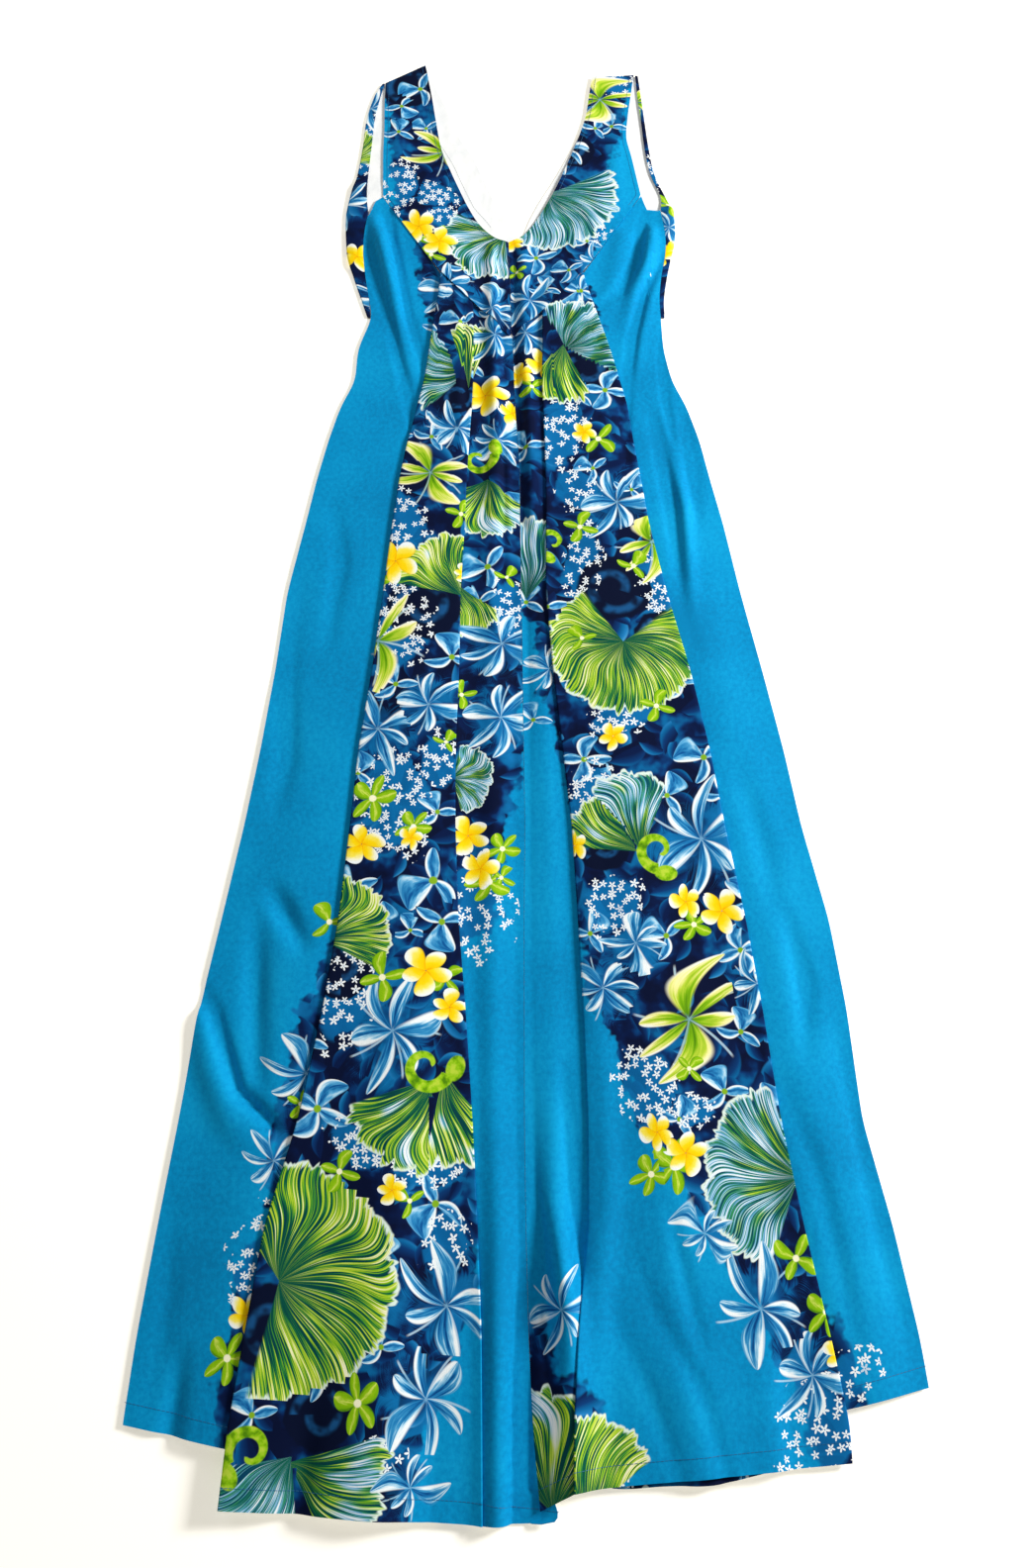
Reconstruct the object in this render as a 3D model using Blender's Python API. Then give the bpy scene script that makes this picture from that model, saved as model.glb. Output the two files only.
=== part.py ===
"""A sleeveless long gown with a V neck, laid flat on its back.

The hem points along -Y, the shoulders along +Y and the front faces +Z. Every panel is one wall of
cloth. The front skirt is one wall on each side of the centre: it runs from the side seam, under
the printed band, back over as the band's own face, under again and on to the centre.
Plan positions in the tables are in metres: x from the photographed centre line, y from the hem.
"""
from collections import namedtuple
import math

import bmesh
import bpy
from mathutils import Vector

LENGTH = 1.440           # left shoulder to the lowest point of the hem
MIDDLE_X = 0.008         # half way between the two hem corners
WALL = 0.0011            # thickness of every cloth wall
SEAM_GAP = 0.0003        # between pieces that are sewn together
PLEAT_GAP = 0.0007       # between the layers of a pleat
TUCK_TOP = 0.012         # how far a pleat turns under at the bust seam
TUCK_HEM = 0.030         # and at the hem

BACK_LEVEL = WALL / 2
FRONT_LEVEL = BACK_LEVEL + WALL + SEAM_GAP
PLEAT_STEP = WALL + PLEAT_GAP
RETURN_LEVEL = FRONT_LEVEL + PLEAT_STEP
BAND_LEVEL = RETURN_LEVEL + PLEAT_STEP

BACK_SEAM_X = 0.004      # the seam down the centre of the back
BACK_WAIST_Y = 1.090     # the seam between back bodice and back skirt
BACK_HEM_Y = 0.050       # the back's hem at its centre, hidden by the front

# The lines that run down the front of the skirt, at distances above the hem
Guide = namedtuple("Guide", "y side_left outer_left inner_left centre inner_right outer_right side_right")
GUIDES = [Guide(*row) for row in (
    (1.230, -0.157, -0.078, -0.046, -0.006, 0.027, 0.067, 0.153),
    (1.200, -0.162, -0.078, -0.046, -0.006, 0.027, 0.067, 0.157),
    (1.170, -0.162, -0.078, -0.046, -0.006, 0.027, 0.067, 0.156),
    (1.140, -0.158, -0.079, -0.046, -0.006, 0.027, 0.068, 0.150),
    (1.112, -0.153, -0.081, -0.046, -0.006, 0.027, 0.076, 0.147),
    (1.090, -0.149, -0.084, -0.046, -0.006, 0.027, 0.082, 0.148),
    (1.050, -0.162, -0.088, -0.045, -0.004, 0.027, 0.093, 0.149),
    (1.010, -0.163, -0.092, -0.045, -0.003, 0.026, 0.102, 0.156),
    (0.980, -0.176, -0.098, -0.046, -0.002, 0.027, 0.109, 0.169),
    (0.940, -0.186, -0.106, -0.048, 0.001, 0.028, 0.113, 0.180),
    (0.895, -0.195, -0.113, -0.050, 0.003, 0.029, 0.119, 0.188),
    (0.845, -0.203, -0.118, -0.051, 0.003, 0.029, 0.125, 0.198),
    (0.770, -0.216, -0.124, -0.054, 0.004, 0.028, 0.139, 0.210),
    (0.690, -0.222, -0.131, -0.054, 0.005, 0.034, 0.157, 0.225),
    (0.610, -0.230, -0.140, -0.056, 0.006, 0.042, 0.171, 0.239),
    (0.540, -0.239, -0.144, -0.055, 0.007, 0.049, 0.180, 0.249),
    (0.455, -0.252, -0.150, -0.051, 0.006, 0.053, 0.193, 0.266),
    (0.380, -0.264, -0.159, -0.044, 0.006, 0.056, 0.202, 0.274),
    (0.290, -0.273, -0.174, -0.037, 0.006, 0.058, 0.211, 0.279),
    (0.210, -0.282, -0.195, -0.032, 0.007, 0.057, 0.223, 0.295),
    (0.130, -0.290, -0.205, -0.028, 0.009, 0.047, 0.237, 0.307),
    (0.070, -0.294, -0.212, -0.027, 0.012, 0.043, 0.246, 0.312),
    (0.000, -0.294, -0.216, -0.026, 0.018, 0.042, 0.246, 0.312),
)]

# Where each line starts on the bust seam, and where the layers end at the hem
Half = namedtuple("Half", "name sign side_top armhole corner outer_top inner_top "
                          "side_hem under_hem band_hem inner_hem centre_hem")
HALVES = (
    Half("left", 1, (-0.157, 1.225), (-0.152, 1.243), (-0.144, 1.250), (-0.078, 1.144),
         (-0.046, 1.108), 0.070, 0.055, 0.016, 0.005, 0.000),
    Half("right", -1, (0.153, 1.230), (0.138, 1.232), (0.133, 1.251), (0.067, 1.144),
         (0.027, 1.098), 0.095, 0.080, 0.045, 0.027, 0.014),
)
BUST_TIP = (-0.0055, 1.065)
NECK_TIP = (-0.009, 1.188)
PANEL_STEPS = 5          # stops across the side panel, from the bust seam's end to the band
BAND_SHARES = (0, 0.25, 0.5, 0.75, 1)     # between the two tucks

# The edges of each front strap, from the shoulder down to the end of the armhole
Strap = namedtuple("Strap", "neck_x neck_y arm_x arm_y")
STRAPS = {
    "left": [Strap(*row) for row in (
        (-0.103, 1.440, -0.147, 1.413),
        (-0.095, 1.393, -0.147, 1.378),
        (-0.090, 1.360, -0.146, 1.345),
        (-0.083, 1.318, -0.146, 1.310),
        (-0.072, 1.285, -0.145, 1.280),
    )],
    "right": [Strap(*row) for row in (
        (0.084, 1.422, 0.131, 1.425),
        (0.080, 1.393, 0.127, 1.397),
        (0.076, 1.364, 0.122, 1.360),
        (0.067, 1.331, 0.120, 1.332),
        (0.056, 1.299, 0.125, 1.303),
    )],
}
# The neckline and the centre seam, at the points where the yoke's rows reach the bust seam
YOKE_FRONT = {
    "left": ((-0.061, 1.256), (-0.052, 1.234), (-0.040, 1.211), (-0.024, 1.194), NECK_TIP),
    "right": ((0.043, 1.264), (0.031, 1.237), (0.018, 1.212), (0.006, 1.196), NECK_TIP),
}

# The back bodice: its neck edge, the line where it rolls up over the side, and its rim on top
Back = namedtuple("Back", "neck_x neck_y fold_x fold_y rim_x")
BACKS = {
    "left": [Back(*row) for row in (
        (-0.1030, 1.4395, -0.1500, 1.412, -0.1480),
        (-0.0920, 1.4100, -0.1580, 1.393, -0.1520),
        (-0.0780, 1.3750, -0.1650, 1.360, -0.1570),
        (-0.0650, 1.3380, -0.1675, 1.320, -0.1590),
        (-0.0480, 1.3050, -0.1720, 1.278, -0.1610),
        (-0.0350, 1.2710, -0.1780, 1.246, -0.1610),
    )],
    "right": [Back(*row) for row in (
        (0.0840, 1.4220, 0.1345, 1.4240, 0.1325),
        (0.0825, 1.3900, 0.1370, 1.3930, 0.1340),
        (0.0740, 1.3520, 0.1400, 1.3520, 0.1370),
        (0.0590, 1.3160, 0.1430, 1.3160, 0.1395),
        (0.0410, 1.2760, 0.1475, 1.2820, 0.1440),
        (0.0250, 1.2450, 0.1580, 1.2500, 0.1540),
    )],
}
# Below the armhole the rim is the side seam: neck edge or centre seam, and the rolled fold
Side = namedtuple("Side", "inner_y fold_x y")
BACK_SIDES = {
    "left": [Side(*row) for row in (
        (1.237, -0.181, 1.225),
        (1.208, -0.180, 1.200),
        (1.178, -0.177, 1.170),
        (1.146, -0.169, 1.140),
        (1.114, -0.160, 1.112),
        (1.090, -0.153, 1.090),
    )],
    "right": [Side(*row) for row in (
        (1.220, 0.165, 1.230),
        (1.190, 0.166, 1.200),
        (1.164, 0.161, 1.170),
        (1.138, 0.155, 1.140),
        (1.112, 0.151, 1.112),
        (1.090, 0.151, 1.090),
    )],
}
BACK_NECK_LOW = {"left": ((-0.022, 1.237), (-0.003, 1.208)), "right": ((0.014, 1.220),)}

# Soft ridges where the cloth stands clear of what is under it
Ridge = namedtuple("Ridge", "start_x start_y end_x end_y spread start_height end_height")
RIDGES = [Ridge(*row) for row in (
    (-0.062, 1.070, -0.120, 0.010, 0.040, 0.001, 0.009),
    (0.050, 1.070, 0.150, 0.030, 0.044, 0.001, 0.009),
    (-0.140, 0.960, -0.248, 0.060, 0.030, 0.002, 0.006),
    (0.146, 0.960, 0.276, 0.085, 0.026, 0.002, 0.006),
    (-0.138, 1.190, -0.112, 1.020, 0.013, 0.005, 0.002),
    (0.146, 1.180, 0.118, 1.030, 0.012, 0.005, 0.002),
    (0.112, 1.190, 0.094, 1.110, 0.012, 0.004, 0.002),
    (-0.100, 1.225, -0.070, 1.160, 0.026, 0.004, 0.003),
    (0.092, 1.225, 0.060, 1.160, 0.026, 0.004, 0.003),
    (-0.170, 1.260, -0.170, 1.160, 0.010, 0.003, 0.003),
    (0.162, 1.230, 0.160, 1.180, 0.008, 0.003, 0.003),
    (-0.088, 0.350, -0.100, 0.005, 0.020, 0.001, 0.004),
    (0.112, 0.300, 0.128, 0.035, 0.018, 0.001, 0.005),
    (0.185, 0.300, 0.192, 0.045, 0.018, 0.001, 0.003),
)]
# The yoke rises along the bust seam, where it covers the layers of the pleats
YOKE_RISES = {
    "left": Ridge(-0.074, 1.140, -0.048, 1.110, 0.018, BAND_LEVEL - FRONT_LEVEL, BAND_LEVEL - FRONT_LEVEL),
    "right": Ridge(0.062, 1.139, 0.030, 1.102, 0.018, BAND_LEVEL - FRONT_LEVEL, BAND_LEVEL - FRONT_LEVEL),
}

TURN_SHARES = (0, 0.25, 0.5, 0.75, 1)     # points round a fold
COLOURS = {
    "print": (0.010, 0.130, 0.320, 1),
    "plain": (0.006, 0.270, 0.560, 1),
}
CLOTH_ROUGHNESS = 0.85

# One point of a section: its place, and the cloth's direction there in degrees
Stop = namedtuple("Stop", "x y z lean")


def mixed(a, b, share):
    return a[0] + (b[0] - a[0]) * share, a[1] + (b[1] - a[1]) * share


def guide_x(name, y):
    """The x of one guide line at a height above the hem."""
    for upper, lower in zip(GUIDES, GUIDES[1:]):
        if y >= lower.y:
            share = (upper.y - y) / (upper.y - lower.y)
            return getattr(upper, name) + (getattr(lower, name) - getattr(upper, name)) * share
    return getattr(GUIDES[-1], name)


def ridge_height(ridge, x, y):
    run = Vector((ridge.end_x - ridge.start_x, ridge.end_y - ridge.start_y))
    offset = Vector((x - ridge.start_x, y - ridge.start_y))
    share = min(max(offset.dot(run) / run.length_squared, 0), 1)
    away = (offset - run * share).length
    height = ridge.start_height + (ridge.end_height - ridge.start_height) * share
    return height * math.exp(-((away / ridge.spread) ** 2))


def loft(x, y):
    """How far the front stands clear of its resting height at a place in plan."""
    return sum(ridge_height(ridge, x, y) for ridge in RIDGES)


def flat_stop(place, level, lean=0):
    return Stop(place[0], place[1], level + loft(*place), lean)


def turn(place, along, low, high, first, last):
    """The half circle of a fold at one place: the cloth's lean goes from first to last degrees."""
    radius = (high - low) / 2
    turning = 1 if last > first else -1
    stops = []
    for share in TURN_SHARES:
        lean = first + (last - first) * share
        out = turning * radius * math.sin(math.radians(lean))
        rise = -turning * radius * math.cos(math.radians(lean))
        x, y = place[0] + along[0] * out, place[1] + along[1] * out
        stops.append(Stop(x, y, (low + high) / 2 + rise + loft(*place), lean))
    return stops


def wall_between(name, rows, colour):
    """A closed solid from rows of stops, half a wall to each side of them."""
    mesh = bpy.data.meshes.new(name)
    shape = bmesh.new()
    faces = []
    for row in rows:
        reach = Vector((row[-1].x - row[0].x, row[-1].y - row[0].y)).normalized()
        pair = [[], []]
        for stop in row:
            lean = math.radians(stop.lean)
            across = -math.sin(lean) * WALL / 2
            up = math.cos(lean) * WALL / 2
            for k, side in enumerate((1, -1)):
                x = stop.x + side * across * reach.x - MIDDLE_X
                y = stop.y + side * across * reach.y - LENGTH / 2
                pair[k].append(shape.verts.new((x, y, stop.z + side * up)))
        faces.append(pair)
    for upper, lower in zip(faces, faces[1:]):
        for k in (0, 1):
            for i in range(len(upper[k]) - 1):
                shape.faces.new((upper[k][i], upper[k][i + 1], lower[k][i + 1]))
                shape.faces.new((upper[k][i], lower[k][i + 1], lower[k][i]))
        for i in (0, -1):
            shape.faces.new((upper[0][i], upper[1][i], lower[1][i], lower[0][i]))
    for pair in (faces[0], faces[-1]):
        for i in range(len(pair[0]) - 1):
            shape.faces.new((pair[0][i], pair[0][i + 1], pair[1][i + 1], pair[1][i]))
    bmesh.ops.recalc_face_normals(shape, faces=shape.faces)
    shape.to_mesh(mesh)
    shape.free()
    mesh.shade_smooth()
    piece = bpy.data.objects.new(name, mesh)
    bpy.context.scene.collection.objects.link(piece)
    mesh.materials.append(cloth(name, COLOURS[colour]))
    return piece


def cloth(name, colour):
    material = bpy.data.materials.new(name + "_cloth")
    material.use_nodes = True
    shader = material.node_tree.nodes["Principled BSDF"]
    shader.inputs["Base Color"].default_value = colour
    shader.inputs["Roughness"].default_value = CLOTH_ROUGHNESS
    shader.inputs["Metallic"].default_value = 0
    return material


def panel_corners(half):
    """The corners of the side panel's top edge, each with its share of the way across it."""
    corners = (half.side_top, half.armhole, half.corner, half.outer_top)
    reach = half.outer_top[0] - half.side_top[0]
    return [((corner[0] - half.side_top[0]) / reach, corner) for corner in corners]


def panel_shares(half):
    """Where the stops of the side panel lie, closer together beside the armhole."""
    _, armhole, corner, _ = [share for share, _ in panel_corners(half)]
    across = [corner + (1 - corner) * k / PANEL_STEPS for k in range(1, PANEL_STEPS + 1)]
    return [0, armhole / 2, armhole, (armhole + corner) / 2, corner] + across


def side_panel_place(half, t, share, side, under):
    """A place between the side seam and the band's outer line, t down the skirt."""
    corners = panel_corners(half)
    for (before, first), (after, last) in zip(corners, corners[1:]):
        if share <= after + 1e-9:
            top = mixed(first, last, (share - before) / (after - before))
            break
    x, y = mixed(side, under, share)
    rise = top[1] - mixed(half.side_top, half.outer_top, share)[1]
    return x, y + rise * (1 - t) ** 4


def front_skirt_row(half, t):
    """One section of a front skirt, from its side seam to the centre."""
    def down(line, top_y, hem_y):
        y = top_y + (hem_y - top_y) * t - seam_drop
        return guide_x(line, y + seam_drop), y

    seam_drop = 2 * SEAM_GAP * (1 - t)
    side = down("side_" + half.name, half.side_top[1], half.side_hem)
    under = down("outer_" + half.name, half.outer_top[1], half.under_hem)
    outer = down("outer_" + half.name, half.outer_top[1], half.band_hem)
    inner = down("inner_" + half.name, half.inner_top[1], half.inner_hem)
    centre = down("centre", BUST_TIP[1], half.centre_hem)
    centre = (centre[0] - half.sign * SEAM_GAP / 2, centre[1])
    if t == 0:
        side = half.side_top
        outer = under = (half.outer_top[0], half.outer_top[1] - seam_drop)
        inner = (half.inner_top[0], half.inner_top[1] - seam_drop)
        centre = (BUST_TIP[0] - half.sign * SEAM_GAP / 2, BUST_TIP[1] - seam_drop)
    tuck = TUCK_TOP + (TUCK_HEM - TUCK_TOP) * t
    width = math.dist(outer, inner)
    along = ((inner[0] - outer[0]) / width, (inner[1] - outer[1]) / width)

    def shifted(place, distance):
        return place[0] + along[0] * distance, place[1] + along[1] * distance

    levels = (FRONT_LEVEL, RETURN_LEVEL, BAND_LEVEL)
    stops = []
    for share in panel_shares(half):
        drop = seam_drop if 0 < share < 1 else 0
        place = side_panel_place(half, t, share, side, under)
        stops.append(flat_stop((place[0], place[1] - drop), levels[0]))
    stops.append(flat_stop(shifted(under, tuck / 2), levels[0]))
    stops += turn(shifted(under, tuck), along, levels[0], levels[1], 0, 180)
    stops.append(flat_stop(mixed(shifted(under, tuck), outer, 0.5), levels[1], 180))
    stops += turn(outer, along, levels[1], levels[2], 180, 0)
    stops.append(flat_stop(shifted(outer, tuck / 2), levels[2]))
    for share in BAND_SHARES:
        clear = tuck + (width - 2 * tuck) * share
        stops.append(flat_stop(shifted(outer, clear), levels[2]))
    stops.append(flat_stop(shifted(inner, -tuck / 2), levels[2]))
    stops += turn(inner, along, levels[1], levels[2], 0, -180)
    stops.append(flat_stop(shifted(inner, -tuck / 2), levels[1], -180))
    stops += turn(shifted(inner, -tuck), along, levels[0], levels[1], -180, 0)
    stops.append(flat_stop(shifted(inner, -tuck / 2), levels[0]))
    for share in (0, 0.35, 0.7, 1):
        stops.append(flat_stop(mixed(inner, centre, share), levels[0]))
    return stops


def skirt_stations(half):
    """The shares down the skirt where its side seam meets the rows of the guide table."""
    top, hem = half.side_top[1], half.side_hem
    rows = [(top - guide.y) / (top - hem) for guide in GUIDES if hem + 0.02 < guide.y < top - 0.001]
    return [0] + rows + [1]


def front_skirt(half):
    rows = [front_skirt_row(half, t) for t in skirt_stations(half)]
    return wall_between("front_skirt_" + half.name, rows, "plain")


def bust_seam(half):
    """The yoke's lower edge: from the armhole's end past the pleat's two folds to the centre."""
    tip = mixed(BUST_TIP, half.inner_top, 0.05)
    points = [mixed(half.corner, half.outer_top, share) for share in (0, 1 / 3, 2 / 3, 1)]
    points.append(mixed(half.outer_top, half.inner_top, 0.5))
    points += [mixed(half.inner_top, tip, share) for share in (0, 0.5, 1)]
    return points


def yoke(half):
    """Strap and bust yoke, a wall between the neckline and the armhole or bust seam."""
    aside = half.sign * SEAM_GAP / 2
    neck = list(YOKE_FRONT[half.name])
    neck += [mixed(NECK_TIP, BUST_TIP, share) for share in (0.31, 0.64, 0.96)]
    neck = [(x - aside if i >= 4 else x, y) for i, (x, y) in enumerate(neck)]
    pairs = [((s.neck_x, s.neck_y), (s.arm_x, s.arm_y)) for s in STRAPS[half.name]]
    pairs += list(zip(neck, bust_seam(half)))
    rows = []
    for inner, outer in pairs:
        row = []
        for share in (0, 0.2, 0.4, 0.6, 0.8, 1):
            place = mixed(outer, inner, share)
            level = FRONT_LEVEL + ridge_height(YOKE_RISES[half.name], *place)
            row.append(flat_stop(place, level))
        rows.append(row)
    return wall_between("front_yoke_" + half.name, rows, "print")


def back_row(inner, fold, rim):
    """From the neck or centre under the gown to the side, and over it to the rim on top."""
    reach = math.dist(inner, fold)
    along = ((fold[0] - inner[0]) / reach, (fold[1] - inner[1]) / reach)
    stops = [Stop(*mixed(inner, fold, share), BACK_LEVEL, 0) for share in (0, 0.33, 0.66, 0.94)]
    rise = loft(*fold)
    stops += [stop._replace(z=stop.z - rise) for stop in turn(fold, along, BACK_LEVEL, FRONT_LEVEL + rise, 0, 180)]
    place = mixed(fold, rim, 0.5)
    stops.append(flat_stop(place, FRONT_LEVEL, 180))
    stops.append(flat_stop(rim, FRONT_LEVEL, 180))
    return stops


def back_bodice(half):
    rows = []
    for row in BACKS[half.name]:
        rows.append(back_row((row.neck_x, row.neck_y), (row.fold_x, row.fold_y), (row.rim_x, row.fold_y)))
    centre = BACK_SEAM_X - half.sign * SEAM_GAP / 2
    low = BACK_NECK_LOW[half.name]
    for i, row in enumerate(BACK_SIDES[half.name]):
        inner = low[i] if i < len(low) else (centre, row.inner_y)
        rim_x = guide_x("side_" + half.name, row.y) - half.sign * SEAM_GAP
        rows.append(back_row(inner, (row.fold_x, row.y), (rim_x, row.y)))
    return wall_between("back_bodice_" + half.name, rows, "print")


def back_skirt(half):
    top = BACK_WAIST_Y - SEAM_GAP
    centre = BACK_SEAM_X - half.sign * SEAM_GAP / 2
    levels = [top] + [g.y for g in GUIDES[::2] if half.side_hem + 0.02 < g.y < top - 0.02] + [half.side_hem]
    rows = []
    for y in levels:
        t = (top - y) / (top - half.side_hem)
        side = (guide_x("side_" + half.name, y), y)
        middle = (centre, top + (BACK_HEM_Y - top) * t)
        rows.append([Stop(*mixed(side, middle, share), BACK_LEVEL, 0) for share in (0, 0.25, 0.5, 0.75, 1)])
    return wall_between("back_skirt_" + half.name, rows, "plain")


def main():
    for thing in list(bpy.data.objects):
        bpy.data.objects.remove(thing)
    for half in HALVES:
        back_skirt(half)
        back_bodice(half)
        front_skirt(half)
        yoke(half)


main()
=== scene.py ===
# %% [markdown]
# # A long gown with a flower print, laid flat
# The gown is cotton: a turquoise cloth with a flower print on navy in two long bands. The frame
# gives eight solids, one for each piece that a maker would cut. This script dresses each of them
# in a thin shell of cloth that follows the same cut, more finely, with its folds and its print.

# %% Load the frame
import math
from collections import namedtuple

import bmesh
import bpy
import numpy as np
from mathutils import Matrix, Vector


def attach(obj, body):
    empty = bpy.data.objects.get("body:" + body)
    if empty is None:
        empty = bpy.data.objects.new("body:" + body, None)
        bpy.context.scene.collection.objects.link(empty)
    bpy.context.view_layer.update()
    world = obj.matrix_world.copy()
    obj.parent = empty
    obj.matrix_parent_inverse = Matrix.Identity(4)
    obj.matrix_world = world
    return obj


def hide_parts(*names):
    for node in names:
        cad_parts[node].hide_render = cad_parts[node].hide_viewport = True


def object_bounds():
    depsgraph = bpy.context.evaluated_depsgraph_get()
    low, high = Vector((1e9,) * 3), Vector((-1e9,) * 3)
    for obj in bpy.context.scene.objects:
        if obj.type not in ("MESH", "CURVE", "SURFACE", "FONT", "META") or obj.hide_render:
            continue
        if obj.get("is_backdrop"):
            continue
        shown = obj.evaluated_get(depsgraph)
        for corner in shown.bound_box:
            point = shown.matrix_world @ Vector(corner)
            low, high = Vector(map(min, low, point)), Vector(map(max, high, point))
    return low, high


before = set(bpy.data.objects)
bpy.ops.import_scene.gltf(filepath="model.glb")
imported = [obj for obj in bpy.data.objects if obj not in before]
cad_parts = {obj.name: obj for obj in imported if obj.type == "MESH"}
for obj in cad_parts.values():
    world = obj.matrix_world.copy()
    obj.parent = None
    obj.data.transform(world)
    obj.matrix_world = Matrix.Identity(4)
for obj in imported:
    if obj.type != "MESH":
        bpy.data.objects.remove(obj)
cad_low, cad_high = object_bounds()
LENGTH = 1.440           # left shoulder to the lowest point of the hem
MIDDLE_X = 0.008         # the photographed centre line, seen from the middle of the part
print("frame", [round(side, 3) for side in cad_high - cad_low], "m,", len(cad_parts), "nodes")

# %% [markdown]
# ## Camera, light and floor
# The gown lies on a pale floor and the camera looks down at it, tilted about 20 degrees from
# straight down towards the shoulders. The picture is upright, so the lens is measured on its
# height. A broad lamp up on the right gives the folds their soft shade on the left, and a weak
# lamp and a pale sky fill the rest. The plain "Standard" view keeps the dye's colours as they are.

# %% Camera
CAMERA_PLACE = (-0.008, -0.5147, 1.0280)
CAMERA_TILT = math.radians(20.0)
LENS = 28.25
SENSOR = 36.0

eye = bpy.data.cameras.new("camera")
eye.sensor_fit = "VERTICAL"
eye.sensor_height = SENSOR
eye.lens = LENS
camera = bpy.data.objects.new("camera", eye)
camera.location = CAMERA_PLACE
camera.rotation_euler = (CAMERA_TILT, 0, 0)
bpy.context.scene.collection.objects.link(camera)
bpy.context.scene.camera = camera
bpy.context.scene.view_settings.view_transform = "Standard"
print("camera", CAMERA_PLACE, "tilted", round(math.degrees(CAMERA_TILT)), "degrees")

# %% Colours as a screen shows them
def tint(red, green, blue):
    """A colour as a screen shows it, 0 to 255, turned into the light that Blender reckons with."""
    def linear(part):
        part = part / 255
        return part / 12.92 if part <= 0.04045 else ((part + 0.055) / 1.055) ** 2.4
    return linear(red), linear(green), linear(blue), 1.0


# %% Sky and lamps
SKY_STRENGTH = 0.26
KEY_WATTS = 87.0
KEY_SIZE = 0.56
KEY_PLACE = Vector((2.05, 0.50, 1.24))
FILL_WATTS = 10.0
FILL_SIZE = 1.20
FILL_PLACE = Vector((-0.90, 1.50, 1.60))
LAMP_COLOUR = (1.0, 0.985, 0.96)

sky = bpy.data.worlds.new("sky")
sky.use_nodes = True
sky.node_tree.nodes["Background"].inputs["Color"].default_value = tint(255, 254, 252)
sky.node_tree.nodes["Background"].inputs["Strength"].default_value = SKY_STRENGTH
bpy.context.scene.world = sky

for label, watts, size, place in (
        ("key", KEY_WATTS, KEY_SIZE, KEY_PLACE), ("fill", FILL_WATTS, FILL_SIZE, FILL_PLACE)):
    lamp = bpy.data.lights.new(label, "AREA")
    lamp.energy = watts
    lamp.size = size
    lamp.color = LAMP_COLOUR
    stand = bpy.data.objects.new(label, lamp)
    stand.location = place
    stand.rotation_euler = (Vector((0, 0, 0)) - place).to_track_quat("-Z", "Y").to_euler()
    bpy.context.scene.collection.objects.link(stand)

# %% Floor
FLOOR_HALF = 6.0
FLOOR_GAP = 0.0002       # below the gown
FLOOR_GLOW = 0.40        # the floor is lit from below as well, as on a light table

floor_mesh = bpy.data.meshes.new("floor")
floor_corners = [(x * FLOOR_HALF, y * FLOOR_HALF, 0) for x, y in ((-1, -1), (1, -1), (1, 1), (-1, 1))]
floor_mesh.from_pydata(floor_corners, [], [(0, 1, 2, 3)])
floor = bpy.data.objects.new("floor", floor_mesh)
floor.location.z = cad_low.z - FLOOR_GAP
bpy.context.scene.collection.objects.link(floor)
floor_paint = bpy.data.materials.new("floor_paper")
floor_paint.use_nodes = True
floor_shader = floor_paint.node_tree.nodes["Principled BSDF"]
floor_shader.inputs["Base Color"].default_value = tint(253, 251, 246)
floor_shader.inputs["Roughness"].default_value = 0.9
floor_shader.inputs["Emission Color"].default_value = tint(255, 248, 228)
floor_shader.inputs["Emission Strength"].default_value = FLOOR_GLOW
floor_mesh.materials.append(floor_paint)
floor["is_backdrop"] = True
print("lamps:", len(bpy.data.lights), "floor:", 2 * FLOOR_HALF, "m across")

# %% [markdown]
# ## The cut
# The shells repeat the solids' own driving tables, in metres: x from the photographed centre
# line and y from the hem. Each front skirt is one cloth, folded twice on each side of the band
# into a box pleat. A table row holds the lines that run down the skirt at one height, and
# averaging up and down each line takes away the corners that the plain solids show.

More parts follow.
